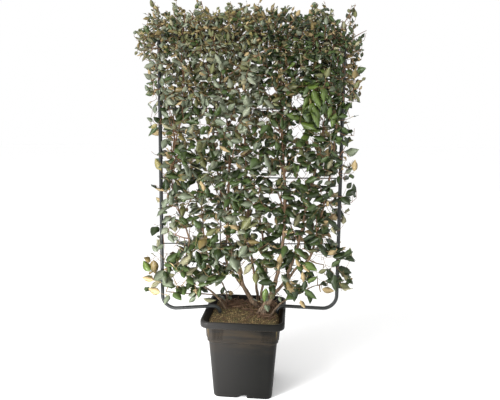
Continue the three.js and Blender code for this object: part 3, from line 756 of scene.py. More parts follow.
limbs = {}
for name, (foot_x, foot_y, depth, *thick, via) in STEMS.items():
    places = [(foot_x, foot_y, SOIL_TOP)] + [(x, foot_y, z) for x, z in via]
    limbs[name] = limb_line(places, depth, thick, FLARE)
host_points, _ = limbs[BOUGH_HOST]
fork = host_points[np.searchsorted(host_points[:, 2], FORK_Z)]
places = [tuple(fork), (fork[0] + 16, fork[1], fork[2] + 12)]
places += [(x, fork[1], z) for x, z in BOUGH_VIA]
limbs["bough_far_right"] = limb_line(places, BOUGH_DEPTH, BOUGH_THICK, 0.0)
limb_points = np.vstack([points for points, _ in limbs.values()])
print("limbs:", {name: len(points) for name, (points, _) in limbs.items()})

# %% [markdown]
# Bark is what makes a stem read as wood. Young silverberry bark is rusty brown and smooth.
# With age it turns grey-brown, and shallow ridges run along it. The colour changes with
# height, since the oldest wood is at the foot, and the ridges are noise drawn out upwards.

# %% Bark
bark, shader = new_material("ridged brown bark", "#6f4f38", 0.82)
inputs = {"Value": grain(shader, 260, 4.0, (1, 1, 0.16)), "From Min": 0.36, "From Max": 0.64}
ridges = add_node(shader, "ShaderNodeMapRange", inputs).outputs[0]
old_wood = tones(shader, ridges, "#342a20", "#85705a")
young_wood = tones(shader, ridges, "#54402f", "#93755a")
_, _, height = own_axes(shader)
feed(shader, {"Base Color": tones(shader, height, old_wood, young_wood, (0.33, 0.95))})
inputs = {"Height": ridges, "Distance": 0.0008, "Strength": 0.9}
feed(shader, {"Normal": add_node(shader, "ShaderNodeBump", inputs).outputs[0]})

# %% [markdown]
# Each stem is a curve with a round bevel whose radius changes from point to point. Small
# swellings mark the places where side shoots left it. The curve is converted to a mesh, and
# two displacements press the bark's lumps and its fine ridges into it.

# %% Stems with relief
KNOT_EVERY, KNOT_PROUD, CROOKED, SUNK = 68.0, 0.16, 1.1, 9
reliefs = []
for name, size, strength in (("bark lumps", 0.03, 0.0022), ("bark ridges", 0.006, 0.0011)):
    texture = bpy.data.textures.new(name, "CLOUDS")
    texture.noise_scale = size
    reliefs.append(dict(texture=texture, texture_coords="LOCAL", strength=strength))

random = np.random.default_rng(5)
for name, (points, radii) in limbs.items():
    points, radii = points.copy(), radii.copy()
    along = np.arange(len(points)) * STEP
    for axis in (0, 1):
        phase, wave = random.uniform(0, 6.28), random.uniform(55, 90)
        bend = CROOKED * np.sin(along / wave * 6.28 + phase)
        points[:, axis] += bend * np.clip(along / 80, 0, 1)
    knots = (along + random.uniform(0, 60)) % KNOT_EVERY
    radii *= 1 + KNOT_PROUD * np.exp(-((knots - KNOT_EVERY / 2) ** 2) / 40)
    radii[-1] *= 0.55
    if not name.startswith("bough"):
        points = np.vstack([points[:1] - [0, 0, SUNK], points])
        radii = np.concatenate([radii[:1] * 1.05, radii])
    stem = round_lines("bark_" + name, [(points * MM, radii)], 3)
    close_normals()
    for relief in reliefs:
        apply_modifier(stem, "DISPLACE", **relief)
    finish_piece(stem, bark, "bark", name, angle=80)
print("stems and boughs:", len(limbs))

# %% [markdown]
# ## The crown
# The crown is grown by the rule of the CAD's foliage. Each mass has its own space and grows
# from the nearest limb. A stem runs towards its middle, twigs branch from it towards evenly
# spread places, and leaves stand by turns along each twig. Here the places lie closer, so the
# twigs are finer and the leaves have their real length, which falls from 57 mm low down to
# 24 mm in the clipped top.

# %% Rows and masses
# lowest and highest z, reach left and right, masses, leaf length, spacing of the twigs' ends,
# and the share of leaves that is kept
ROWS = [
    (372, 470, -449, 445, 2, 54, 49, 0.9),
    (470, 600, -440, 438, 4, 57, 41, 0.96),
    (600, 735, -397, 396, 4, 56, 41.5, 0.93),
    (735, 880, -402, 425, 4, 52, 40, 0.93),
    (880, 1030, -402, 424, 4, 49, 38.5, 0.93),
    (1030, 1190, -415, 406, 4, 44, 35, 0.93),
    (1190, 1370, -412, 430, 4, 34, 25, 1.0),
    (1370, 1574, -448, 432, 4, 24, 17, 1.0),
]
DEPTH_HALF, ROW_SHIFT, LOW_ROW_HOLE, COLUMN, BORDER = 118.0, 14.0, 165.0, 225.0, 26.0
CROWN_FOOT, CROWN_TOP = 350, 1574

spaces = []
for level, (low, high, left, right, masses, leaf, spacing, kept) in enumerate(ROWS):
    shift = -ROW_SHIFT if level % 2 else ROW_SHIFT
    for k in range(masses):
        x_low = left if k == 0 else shift + COLUMN * (k - 2)
        x_high = right if k == masses - 1 else shift + COLUMN * (k - 1)
        if masses == 2:
            x_low, x_high = ((left, -LOW_ROW_HOLE), (LOW_ROW_HOLE, right))[k]
        space = dict(row=level, leaf=leaf, spacing=spacing, kept=kept)
        space["node"] = f"foliage_row{level + 1}_{k + 1}"
        space["low"] = np.array([x_low, -DEPTH_HALF, low])
        space["high"] = np.array([x_high, DEPTH_HALF, high])
        # leaves may pass into the neighbours' spaces, but not out of the crown
        outer = space["low"] - BORDER, space["high"] + BORDER
        space["outer_low"] = np.maximum(outer[0], [left, -DEPTH_HALF, CROWN_FOOT])
        space["outer_high"] = np.minimum(outer[1], [right, DEPTH_HALF, CROWN_TOP])
        spaces.append(space)
print("masses:", len(spaces))

# %% [markdown]
# The sky shows through the crown in places. The larger openings are listed by their middle
# and half sizes in the panel's plane, and a leaf that would lie in one of them is left out.

# %% Openings
OPENINGS = np.array([
    (295, 549, 55, 42), (295, 420, 58, 22), (-2, 458, 22, 50), (297, 484, 38, 28),
    (183, 1204, 30, 28), (-90, 464, 23, 36), (-291, 663, 32, 22), (-307, 461, 40, 20),
    (88, 500, 18, 28), (-236, 674, 22, 20), (187, 490, 25, 22), (98, 811, 24, 20),
    (-93, 849, 18, 22), (282, 1131, 15, 30), (190, 1096, 30, 20), (-153, 425, 32, 20),
    (212, 914, 26, 14), (90, 722, 18, 20), (77, 1238, 20, 15), (346, 858, 12, 22),
    (34, 574, 20, 20), (239, 1051, 16, 18), (123, 468, 14, 32), (-54, 424, 22, 18),
    (-189, 1112, 22, 15), (-322, 599, 20, 12), (157, 882, 14, 16), (-349, 566, 14, 20),
    (-316, 761, 19, 19), (-162, 724, 16, 19), (-236, 852, 15, 14), (-139, 838, 11, 21),
    (346, 503, 12, 17), (-195, 406, 19, 12), (-25, 541, 15, 13), (168, 615, 18, 12),
    (-112, 646, 14, 13), (314, 769, 13, 15), (-234, 573, 15, 12), (-326, 1153, 17, 12),
    (139, 511, 13, 17), (-267, 742, 11, 17), (208, 614, 13, 12), (188, 1061, 14, 10),
    (-166, 791, 16, 14), (-277, 936, 11, 14), (-350, 653, 15, 17), (-126, 709, 16, 16),
    (-349, 822, 14, 14), (60, 1130, 13, 11), (90, 897, 50, 9), (200, 897, 60, 9),
    (310, 897, 50, 9), (60, 1172, 60, 8), (-325, 622, 40, 8), (160, 622, 60, 8),
], float)


def seen_through(points):
    """True for each point that the eye sees against one of the openings."""
    eye = np.array(EYE) / MM
    share = -eye[1] / (points[:, 1] - eye[1])
    on_panel = eye + (points - eye) * share[:, None]
    miss = (on_panel[:, None, [0, 2]] - OPENINGS[None, :, :2]) / OPENINGS[None, :, 2:]
    return (np.sum(miss**2, axis=2) < 1).any(axis=1)


# %% Clearance from limbs and frame
UPRIGHT_FOOT_Z, ROD_FOOT_Z, ROD_HALF = 340, 612, 360
bars = [
    (*bar_ends, TUBE / 2),
    ((-bar_half, 0, ARM_Z), (LEG_X[-1], 0, RIM_Z), TUBE / 2),
    ((LEG_X[1], 0, RIM_Z), (bar_half, 0, ARM_Z), TUBE / 2),
]
for side in (-1, 1):
    foot, head = (-side * upright_half(z) for z in (UPRIGHT_FOOT_Z, BAR_Z))
    bars.append(((foot, 0, UPRIGHT_FOOT_Z), (head, 0, BAR_Z), TUBE / 2))
    bars.append(((side * ROD_X, ROD, ROD_FOOT_Z), (side * ROD_X, ROD, BAR_Z), ROD / 2))
for z in (FIRST_Z + BAY * level for level in (1, 2, 3)):
    bars.append(((-ROD_HALF, 0, z), (ROD_HALF, 0, z), ROD / 2))
for points, radii in limbs.values():
    coarse, sizes = points[::4], radii[::4]
    bars += zip(coarse[:-1], coarse[1:], sizes[:-1])
starts, ends, thicks = (np.array(v, float) for v in zip(*bars))
runs = ends - starts
run_squares = np.sum(runs**2, axis=1)


def clear_of_wood(points, margin):
    """True if every point keeps its margin from all tubes, rods and stems."""
    reach = points[:, None] - starts[None]
    share = np.clip(np.sum(reach * runs, axis=2) / run_squares, 0, 1)
    apart = np.linalg.norm(reach - share[..., None] * runs, axis=2)
    return bool((apart > thicks + margin).all())


print("bars and limb lengths to keep clear of:", len(bars))

# %% [markdown]
# The outline of the crown is clipped by hand, so it is ragged. At the top, stray shoots stand
# above it, and at the sides and low down, the tubes and the fan of stems stay bare in places.

# %% Outline of the crown
# height of the clipped top at places from left to right, and the stray shoots above it
TOP_EDGE = np.array([
    (-450, 1450), (-420, 1490), (-400, 1520), (-330, 1522), (-260, 1530), (-200, 1548),
    (-120, 1540), (-60, 1548), (0, 1545), (60, 1556), (110, 1545), (170, 1535), (240, 1525),
    (300, 1532), (340, 1505), (380, 1460), (440, 1450),
], float)
TOP_SHOOTS = [-372, -290, -203, -88, -25, 27, 126, 240, 268, 384]
# the ragged sides start here, and the uprights show in front as far out and up as this
SIDE_FROM, UPRIGHT_OUT, UPRIGHT_UP = 345, 386, {-1: 1425, 1: 1345}
# reach of the bare fan of stems in x and z, and of its middle in x
FAN_X, FAN_Z, FAN_MIDDLE, FAN_FRONT = (-115, 95), (405, 545), (-66, 22), 12


def beyond_edge(point):
    """True above the ragged top, unless a stray shoot stands there."""
    x, _, z = point
    edge = np.interp(x, *TOP_EDGE.T) + 9 * math.sin(x / 11.0)
    return z > edge and min(abs(x - shoot) for shoot in TOP_SHOOTS) > 9


def bare_corner(point):
    """True over the lower corners of the frame, which stay free."""
    x, _, z = point
    return z < 432 and not -380 < x < 245 or z < 404 and x < -240 or z < 392 and abs(x) > 135


def outside_edge(point, random):
    """True for a leaf past the ragged outline of the top or the two sides."""
    x, y, z = point
    if beyond_edge(point) or bare_corner(point):
        return True
    clump = math.sin(z / 19.0 + (2.0 if x > 0 else 0.0)) + math.sin(z / 7.3 + x / 40.0)
    spare = 0.30 if z < 480 else 0.08 if z < 1230 else 0.22
    if SIDE_FROM < abs(x) < UPRIGHT_OUT and y < 0 and z < UPRIGHT_UP[-1 if x < 0 else 1]:
        spare = 0.0
    if x < -375 and 515 < z < 1230:
        clump -= 0.9
    return abs(x) > SIDE_FROM and random.random() > spare + 0.25 * max(0.0, clump)


def before_stems(point):
    """The share of leaves that is left out in front of the fan of bare stems."""
    x, y, z = point
    if y > FAN_FRONT or not FAN_X[0] < x < FAN_X[1] or not FAN_Z[0] < z < FAN_Z[1]:
        return 0.0
    return 0.75 if FAN_MIDDLE[0] < x < FAN_MIDDLE[1] else 0.2


# %% [markdown]
# A twig is a gentle arc of five points that turns up towards the light, and its leaves stand
# by turns. A leaf is only noted here by its roots on twig and blade, its direction, the way
# that it faces and its length. It has four tries to find a free place, or else it is left
# out. The mesh comes afterwards, for all leaves at once.

# %% Leaves on a twig
LEAF_PITCH, WOOD_MARGIN, TRIES = 0.36, 2.0, 4


def unit(v):
    return v / np.linalg.norm(v)


def arc(start, end, lift):
    """Five points from start to end that sag first and then turn up."""
    t = np.linspace(0, 1, 5)[:, None]
    points = start + (end - start) * t
    points[:, 2] -= (lift * np.sin(math.pi * t) * (1 - 0.35 * t))[:, 0]
    return points


def leaf_try(along, side, root, leaf, random):
    """Direction, upper side and length that a leaf might have, away from its twig."""
    if side is None:
        way = unit(along + random.normal(0, 0.35, 3))
    else:
        way = 0.55 * along + side + random.normal(0, 0.25, 3) + [0, 0, -0.1]
        way = unit(way * [1, 1, 0.65])
    size = leaf * random.uniform(0.6, 1.28)
    front = -0.85 if root[1] < random.uniform(8, 55) else 0.85
    face = np.array([0, front, 0.8 if root[2] < 1100 else 0.4])
    face += random.normal(0, 0.3 if root[2] < 620 else 0.4, 3)
    return way, unit(face - way * np.dot(face, way)), size


def leaves_on(points, space, random):
    """Leaves by turns on both sides of a twig, and one at its tip."""
    found, leaf = [], space["leaf"]
    count = max(1, int(np.linalg.norm(points[-1] - points[0]) / (LEAF_PITCH * leaf)))
    for k in range(count + 1):
        if random.random() > space["kept"]:
            continue
        position = (0.25 + 0.75 * k / count) * 4
        low = min(int(position), 3)
        root = points[low] + (points[low + 1] - points[low]) * (position - low)
        along = unit(points[low + 1] - points[low])
        side = unit(np.cross(along, random.normal(size=3)))
        for attempt in range(TRIES):
            if k < count:
                side = -side if attempt % 2 == 0 else unit(np.cross(along, random.normal(size=3)))
            way, face, size = leaf_try(along, side if k < count else None, root, leaf, random)
            base = root + way * 0.1 * size
            probe = base + way * size * np.array([[0.25], [0.55], [0.98]])
            if (probe < space["outer_low"]).any() or (probe > space["outer_high"]).any():
                continue
            if outside_edge(probe[1], random) or seen_through(probe).any():
                continue
            if random.random() < before_stems(probe[1]):
                break
            if clear_of_wood(probe, WOOD_MARGIN):
                found.append((root, base, way, face, size))
                break
    return found


# %% [markdown]
# Growth itself: `host_place` finds the limb that a mass grows from, and `grow` makes its
# stem, a few long runners from the limbs around, and twigs towards evenly spread sites.

# %% Growth rule
LAYERS, LAYER_APART, RUNNERS, RUNNER_TOP, BARE_SHARE = 3, 52, 3, 1570.0, 0.02
# radii along a stem or runner, and at its nodes where twigs may start
TRUNK, TRUNK_NODES = np.linspace(2.9, 2.0, 5), (2.7, 2.5, 2.3, 2.1)
RUNNER, RUNNER_NODES = np.linspace(2.2, 1.3, 5), (1.9, 1.7, 1.5)


def nearest_limb(point):
    return limb_points[np.argmin(np.linalg.norm(limb_points - point, axis=1))]


def host_place(low, high):
    """The place on a limb that is nearest to the lower middle of a mass's space."""
    x, _, z = limb_points.T
    inside = (x > low[0] + 10) & (x < high[0] - 10) & (z > low[2] + 5) & (z < high[2] - 10)
    miss = np.hypot(x - (low[0] + high[0]) / 2, z - (low[2] + 0.3 * (high[2] - low[2])))
    return limb_points[np.argmin(np.where(inside, miss, np.inf))]


def grow(space, random):
    """Twigs as (points, radii) and leaves as (root, base, way, face, length) in one mass."""
    low, high, spacing = space["low"], space["high"], space["spacing"]
    root = host_place(low, high)
    middle = (low + high) / 2 + random.uniform(-0.15, 0.15, 3) * (high - low)
    middle[1] = random.uniform(-25, 25)
    trunk = arc(root, middle, 6)
    twigs, leaves, parents, carried = [(trunk, TRUNK)], [], [0], [1]
    nodes = [(point, thick, 0) for point, thick in zip(trunk[1:], TRUNK_NODES)]
    for _ in range(RUNNERS):
        foot = nearest_limb(root + [random.uniform(-70, 70), 0, random.uniform(-60, 50)])
        head = foot + [random.uniform(-70, 70), 0, high[2] + 12 - root[2]]
        head = np.clip(head, low, np.minimum(high + 12, RUNNER_TOP))
        head[1] = random.uniform(-48, 20)
        if beyond_edge(head):
            head[2] -= 50
        runner = arc(foot, head, -5)
        nodes += [(point, thick, len(twigs)) for point, thick in zip(runner[2:], RUNNER_NODES)]
        twigs.append((runner, RUNNER))
        parents.append(0)
        carried.append(1)

    # every twig grows towards one of many evenly spread sites, the nearest first
    across, up = (max(2, round((high[k] - low[k]) / spacing)) for k in (0, 2))
    sites = []
    for layer, row, column in np.ndindex(LAYERS, up, across):
        x = low[0] + (column + random.uniform(0.05, 0.95)) / across * (high[0] - low[0])
        z = low[2] + (row + random.uniform(0.05, 0.95)) / up * (high[2] - low[2])
        y = (layer - (LAYERS - 1) / 2) * LAYER_APART + random.uniform(-22, 22)
        sites.append(np.array([x, y, z]))
    sites.sort(key=lambda site: np.linalg.norm(site - root))
    for site in sites:
        apart = np.linalg.norm(np.array([point for point, _, _ in nodes]) - site, axis=1)
        apart[apart < 0.35 * spacing] = 1e6
        k = int(np.argmin(apart))
        start, thick, parent = nodes[k]
        if apart[k] > 5 * spacing or beyond_edge(site) or bare_corner(site):
            continue
        points = arc(start, site, 0.08 * apart[k])
        radii = np.linspace(min(thick * 0.88, 1.9), 0.8, 5)
        nodes += [(points[n], r, len(twigs)) for n, r in ((2, radii[2]), (3, radii[3]), (4, 1.0))]
        twigs.append((points, radii))
        found = leaves_on(points, space, random)
        leaves += found
        parents.append(parent)
        carried.append(len(found))

    # bare twigs are cut back from the youngest on, apart from a few
    for k in range(len(twigs) - 1, 0, -1):
        if carried[k] or random.random() < BARE_SHARE:
            carried[k] = 1
            carried[parents[k]] += 1
    return [twig for twig, load in zip(twigs, carried) if load], leaves


random = np.random.default_rng(1000)
crown = [grow(space, random) for space in spaces]
print("twigs:", sum(len(t) for t, _ in crown), "leaves:", sum(len(l) for _, l in crown))

# %% [markdown]
# The lowest masses leave the stems' feet free. Only a few short sprays hang there, each from
# the nearest stem, and their tips are listed. Three long shoots have lost their leaves: one
# crosses the front of the crown, and two lean out at its upper right corner.

# %% Low sprays and bare shoots
LOW_SPRAYS = [
    (-148, 30, 396), (-112, 20, 400), (-92, 40, 384), (-70, 30, 404), (66, -30, 408),
    (52, -60, 386), (96, -40, 425), (118, -40, 408), (156, -20, 418), (180, -10, 412),
    (206, -10, 416), (236, -20, 424), (-116, -20, 476), (3, -30, 550), (-80, -20, 552),
    (43, -30, 556), (94, -40, 530), (130, -50, 506), (66, -50, 470), (-92, -30, 500),
]
BARE_SHOOTS = [
    ((-90, -30, 1300), (62, -90, 1392), 2.6),
    ((350, -10, 1490), (396, -14, 1568), 2.0),
    ((362, -20, 1425), (438, -30, 1472), 2.0),
]
low_space = dict(spaces[0], leaf=46, kept=1.0)
low_space["outer_low"] = np.array([-190.0, -DEPTH_HALF, 352.0])
low_space["outer_high"] = np.array([270.0, DEPTH_HALF, 620.0])
random = np.random.default_rng(61)
for tip in np.array(LOW_SPRAYS, float):
    points = arc(nearest_limb(tip), tip, 5)
    crown[0][0].append((points, np.linspace(1.6, 0.8, 5)))
    crown[0][1].extend(leaves_on(points, low_space, random))
for *ends, thick in BARE_SHOOTS:
    points = arc(*np.array(ends, float), -5)
    crown[-1][0].append((points, np.linspace(thick, 1.1, 5)))
print("leaves with the low sprays:", sum(len(l) for _, l in crown))
print("bare shoots:", len(BARE_SHOOTS))

# %% [markdown]
# ## Leaf colours
# A silverberry leaf is leathery. Its upper side is deep green under a wax that shines softly,
# and its underside carries silver and tan scales. Young leaves at the top are still bronze.
# A colour that has a place is a plain base colour, dealt out spray by spray.

# %% Leaf finishes
TOP_SIDES = {
    "deep green leaf": "#273615", "green leaf": "#425429", "grey-green leaf": "#6d7660",
    "olive leaf": "#686a43", "bronze young leaf": "#77683f", "bright green leaf": "#526528",
    "yellow-green leaf": "#8f8654", "frosted leaf": "#838973",
}
UNDERSIDES = {
    "silver underside": "#9a9778", "tan underside": "#a8946c", "olive underside": "#6b6a4c",
}
# places in the list of both
DEEP, GREEN, OLIVE, BRIGHT, SILVER, TAN, DULL = 0, 1, 3, 5, 8, 9, 10
leaf_materials = []
for colours, roughness, coat in ((TOP_SIDES, 0.4, 0.2), (UNDERSIDES, 0.7, 0.0)):
    wax = dict(IOR=1.45, Coat_Weight=coat, Coat_Roughness=0.3)
    for name, colour in colours.items():
        material, shader = new_material(name, colour, roughness, **wax)
        vary_gloss(shader, roughness - 0.08, roughness + 0.1, 150, 2.0)
        press_grain(shader, 0.0006, 0.5, 260, 2.0)
        leaf_materials.append(material)

# a place by its lowest and highest x and z, then the shares of the eight upper sides there;
# the first place that fits a spray counts. Besides the leaves' own mix of colours, the shares
# paint light and shade: pale grey-green and frosted leaves are commoner on the left, where
# the light falls, and deep green ones on the right, where shade falls.
SPRAY_PLACES = [
    (165, 275, 1070, 1270, 0.05, 0.2, 0.0, 0.05, 0.0, 0.66, 0.04, 0.0),
    (-395, -325, 1400, 1485, 0.75, 0.1, 0.0, 0.1, 0.05, 0.0, 0.0, 0.0),
    (60, 999, 1180, 1999, 0.44, 0.31, 0.03, 0.13, 0.08, 0.0, 0.01, 0.0),
    (-999, 999, 1420, 1999, 0.05, 0.12, 0.11, 0.26, 0.26, 0.0, 0.08, 0.12),
    (-999, 999, 1180, 1999, 0.0, 0.07, 0.22, 0.19, 0.05, 0.0, 0.03, 0.44),
    (-999, 60, 1030, 1999, 0.0, 0.18, 0.30, 0.11, 0.03, 0.0, 0.03, 0.35),
    (80, 999, 800, 1999, 0.41, 0.38, 0.10, 0.05, 0.02, 0.01, 0.01, 0.02),
    (80, 999, 0, 1999, 0.52, 0.33, 0.06, 0.05, 0.02, 0.01, 0.0, 0.01),
    (-999, 999, 0, 620, 0.24, 0.46, 0.18, 0.06, 0.02, 0.01, 0.01, 0.02),
    (-999, 999, 0, 1999, 0.07, 0.37, 0.34, 0.08, 0.02, 0.01, 0.02, 0.09),
]
SHADE_FROM, SHADE_SHARE = 8.0, 0.6


def spray_colour(root, random):
    """Which upper side the leaves of a spray have, by its place in the crown."""
    x, y, z = root
    fits = (row[4:] for row in SPRAY_PLACES if row[0] < x < row[1] and row[2] < z < row[3])
    shares = next(fits)
    shaded = random.random() < SHADE_SHARE * (1.0 if x > 60 else 0.3) and y > SHADE_FROM
    if shaded and (z < 1180 or x > 60) and z < 1420 and shares[BRIGHT] < 0.5:
        return DEEP
    return random.choice(8, p=shares)


# %% Leaf mesh
# Seven stations from root to tip. Each has a point on the midrib's upper and lower side, and
# the five between have a point on each margin.
STATION = np.array([0.0, 0.09, 0.25, 0.44, 0.66, 0.86, 1.0])
HALF_WIDTH = np.array([0.0, 0.46, 0.9, 1.0, 0.78, 0.34, 0.0])
UPPER, LOWER, LEFT, RIGHT, LEAF_POINTS = 0, 7, 14, 19, 24

leaf_faces = []
for mid, facing in ((UPPER, 1), (LOWER, -1)):
    for margin, turn in ((LEFT, 1), (RIGHT, -1)):
        faces = [(mid, mid + 1, margin), (mid + 5, mid + 6, margin + 4)]
        for k in range(4):
            faces.append((mid + 1 + k, mid + 2 + k, margin + k + 1))
            faces.append((mid + 1 + k, margin + k + 1, margin + k))
        leaf_faces += [(a, b, c) if facing * turn > 0 else (a, c, b) for a, b, c in faces]
leaf_faces = np.array(leaf_faces)
upper_count = len(leaf_faces) // 2


def leaf_points(roots, ways, faces, lengths, random):
    count = len(roots)
    width = lengths * random.uniform(0.185, 0.285, count) * np.where(lengths < 42, 1.18, 1.0)
    width *= np.where((roots[:, 0] < 60) & (roots[:, 2] < 760), 1.16, 1.0)
    spans = ((-0.05, 0.35), (-0.08, 0.28), (0, 6.28))
    cup, droop, phase = (random.uniform(*span, (count, 1)) for span in spans)
    local = np.zeros((count, LEAF_POINTS, 3))
    lengths, half = lengths[:, None], width[:, None] * HALF_WIDTH[1:6]
    mid_z = -droop * lengths * STATION**2
    for start, lift in ((UPPER, 0.25), (LOWER, -0.25)):
        local[:, start : start + 7, 0] = lengths * STATION
        local[:, start : start + 7, 2] = mid_z + lift
    for start, sign in ((LEFT, 1), (RIGHT, -1)):
        wave = 0.06 * lengths * np.sin(phase + sign + STATION[1:6] * 10.5)
        local[:, start : start + 5, 0] = lengths * (STATION[1:6] + 0.015)
        local[:, start : start + 5, 1] = sign * half
        local[:, start : start + 5, 2] = mid_z[:, 1:6] + cup * half + wave * HALF_WIDTH[1:6]
    # the two sides of the midrib meet in one point at root and tip
    for k in (0, 6):
        local[:, LOWER + k] = local[:, UPPER + k]
    axes = np.stack([ways, np.cross(faces, ways), faces], axis=1)
    return (np.einsum("nvi,nij->nvj", local, axes) + roots[:, None]).reshape(-1, 3)


print("triangles in a leaf:", len(leaf_faces))

# %% Leaves of each row
# root and tip of the large leaves at the upper right and the lower right, with their colour
HANGING = [
    ((233, -62, 1246), (262, -82, 1182), BRIGHT), ((237, -66, 1186), (258, -84, 1102), BRIGHT),
    ((306, -60, 1184), (296, -82, 1140), BRIGHT), ((326, -60, 1158), (308, -80, 1102), BRIGHT),
    ((204, -60, 1178), (226, -78, 1118), GREEN), ((262, -62, 1256), (290, -80, 1212), BRIGHT),
    ((284, -58, 1196), (268, -78, 1150), GREEN), ((222, -58, 1262), (196, -74, 1222), GREEN),
    ((217, -70, 562), (269, -86, 533), BRIGHT), ((182, -74, 580), (199, -84, 541), TAN),
    ((209, -62, 557), (237, -76, 524), TAN), ((212, -60, 522), (219, -70, 475), TAN),
    ((232, -60, 476), (273, -74, 505), BRIGHT), ((278, -50, 512), (313, -60, 532), OLIVE),
    ((272, -66, 641), (308, -84, 587), DEEP), ((316, -50, 590), (350, -62, 614), TAN),
    ((335, -30, 533), (371, -44, 568), GREEN), ((387, -28, 584), (431, -40, 556), DEEP),
    ((218, -78, 451), (269, -92, 415), GREEN), ((177, -84, 460), (181, -96, 402), DEEP),
    ((144, -84, 456), (167, -96, 429), DEEP), ((62, -96, 464), (57, -106, 405), BRIGHT),
    ((297, -40, 440), (347, -52, 435), TAN), ((322, -34, 479), (365, -46, 458), GREEN),
    ((375, -20, 457), (418, -30, 439), OLIVE), ((397, -14, 468), (420, -22, 493), GREEN),
]
# the share of leaves in each row that show their underside
FLIPPED = [0.08, 0.09, 0.04, 0.03, 0.03, 0.04, 0.05, 0.11]
SPRAY, BIGGER, BLADE_START = 4, 1.5, 1.5
random = np.random.default_rng(77)
stalks = []
for level, (low, high, *_) in enumerate(ROWS):
    found = []
    for space, (_, leaves) in zip(spaces, crown):
        if space["row"] != level:
            continue
        for k, (twig_root, base, way, face, size) in enumerate(leaves):
            x, _, z = base
            if k % SPRAY == 0:
                colour = spray_colour(base, random)
            share = 0.4 if x < -350 and z > 1180 else FLIPPED[level]
            if random.random() < share * (1.3 if x > 60 else 0.8):
                face = -face
            if colour == BRIGHT and level in (5, 6) and 150 < x < 290:
                size *= BIGGER
            young = random.random() < (0.45 if z > 1200 else 0.25)
            under = DULL if young else random.choice([TAN, TAN, SILVER])
            found.append((base, way, face, size, colour, under))
            stalks.append((twig_root, base + way * BLADE_START))
    for *ends, colour in HANGING:
        root, tip = np.array(ends, float)
        if not low <= root[2] - 1 < high:
            continue
        crown[0][0].append((arc(nearest_limb(root), root, 6), np.linspace(1.4, 0.7, 5)))
        way, face = unit(tip - root), np.array([0.15, -1.0, 0.2])
        face = unit(face - way * np.dot(face, way))
        found.append((root, way, face, np.linalg.norm(tip - root), colour, TAN))
        stalks.append((root, root + way * BLADE_START))
    *places, tops, unders = (np.array(v) for v in zip(*found))
    which = np.tile(tops[:, None], len(leaf_faces))
    which[:, upper_count:] = unders[:, None]
    piece = mesh_piece(
        f"leaves_row{level + 1}",
        leaf_points(*places, random),
        copies_of(leaf_faces, LEAF_POINTS, len(found)),
        leaf_materials,
        which.ravel(),
    )
    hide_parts(*[space["node"] for space in spaces if space["row"] == level])
    print(piece.name, len(found), "leaves,", len(piece.data.polygons), "triangles")

# %% [markdown]
# ## Twigs and leaf stalks
# Young twigs are covered in rusty scales, so they glow orange-brown against the leaves, and
# the thin ones low down are tan. All twigs are four-sided tubes that taper to a point.

# %% Twig finishes
rusty_twig, shader = new_material("rusty scaled twig", "#6f4d33", 0.75)
feed(shader, {"Base Color": tones(shader, grain(shader, 90), "#5d4230", "#90694c")})
tan_twig, shader = new_material("tan woody twig", "#8c7250", 0.8)
feed(shader, {"Base Color": tones(shader, grain(shader, 90), "#6b5238", "#a68b66")})
stalk_skin, shader = new_material("leaf stalk", "#8b7a4a", 0.7)
press_grain(shader, 0.0002, 0.3, 900, 1.0)


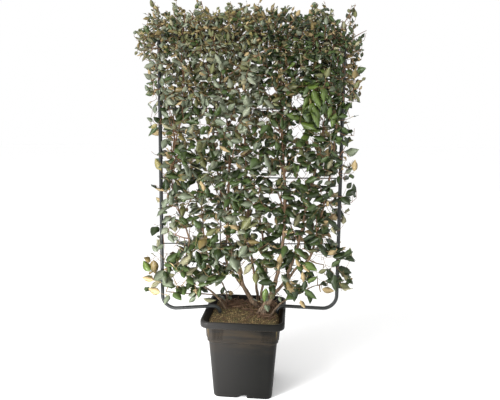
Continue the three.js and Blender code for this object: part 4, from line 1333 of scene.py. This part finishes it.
def tube_batch(points, radii, sides):
    """Points and triangles of many tubes at once, and how many triangles one tube has."""
    count, rings, _ = points.shape
    along = points[:, -1] - points[:, 0]
    along /= np.linalg.norm(along, axis=1, keepdims=True)
    helper = np.where(np.abs(along[:, 2:]) < 0.8, [[0.0, 0.0, 1.0]], [[1.0, 0.0, 0.0]])
    first = np.cross(along, helper)
    first /= np.linalg.norm(first, axis=1, keepdims=True)
    second = np.cross(along, first)
    angles = (2 * math.pi * np.arange(sides) / sides)[:, None]
    around = first[:, None] * np.cos(angles) + second[:, None] * np.sin(angles)
    shape = points[:, :, None] + radii[:, :, None, None] * around[:, None]
    last = (rings - 1) * sides
    pattern = []
    for start in range(0, last, sides):
        for k in range(sides):
            a, b = start + k, start + (k + 1) % sides
            pattern += [(a, b, b + sides), (a, b + sides, a + sides)]
    for k in range(1, sides - 1):
        pattern += [(0, k + 1, k), (last, last + k, last + k + 1)]
    triangles = copies_of(np.array(pattern), rings * sides, count)
    return shape.reshape(-1, 3), triangles, len(pattern)


# %% Twigs
TAN_BELOW, STALK_ENDS = 620, [0.75, 0.55]
all_twigs = [twig for twigs, _ in crown for twig in twigs]
lines, radii = (np.array(v) for v in zip(*all_twigs))
points, triangles, each = tube_batch(lines, radii, 4)
low_twig = np.repeat(lines[:, 0, 2] < TAN_BELOW, each)
mesh_piece("twigs", points, triangles, [rusty_twig, tan_twig], low_twig)
radii = np.tile(STALK_ENDS, (len(stalks), 1))
points, triangles, _ = tube_batch(np.array(stalks), radii, 3)
mesh_piece("leaf_stalks", points, triangles, [stalk_skin])
print("twigs", len(all_twigs), "stalks", len(stalks))

# %% [markdown]
# ## Floor and light
# The object stands on a plain pale floor in an even, bright studio. A large soft light from
# the left front models the pot, a weaker one from the right opens the shadows, and a small
# one lifts the pot's left side.

# %% Studio
floor = start_piece("studio_floor", bpy.ops.mesh.primitive_plane_add, size=40)
floor_paint, shader = new_material("matte white floor paint", "#ffffff", 0.9)
press_grain(shader, 0.0001, 0.1, 300, 1.0)
floor.data.materials.append(floor_paint)
floor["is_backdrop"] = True

world = bpy.data.worlds.new("studio")
world.use_nodes = True
feed(world.node_tree.nodes["Background"], {"Color": "#ffffff", "Strength": 1.0})
bpy.context.scene.world = world
bpy.context.scene.view_settings.view_transform = "Standard"

for name, place, target, size, watts in (
    ("key_light", (-2.2, -2.0, 2.6), (0, 0, 0.85), 1.8, 105),
    ("fill_light", (2.4, -1.6, 1.9), (0, 0, 1.1), 1.2, 7),
    ("pot_light", (-0.62, -0.62, 0.36), (-0.2, -0.2, 0.16), 0.25, 9),
):
    lamp = add_object(name, bpy.data.lights.new(name, "AREA"))
    lamp.data.shape = "DISK"
    lamp.data.size = size
    lamp.data.energy = watts
    lamp.location = place
    lamp.rotation_euler = (Vector(target) - Vector(place)).to_track_quat("-Z", "Y").to_euler()

# %% Sizes
sizes = {"cad": [list(corner) for corner in cad_box], "visual": [list(corner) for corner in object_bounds()]}
print(sizes)
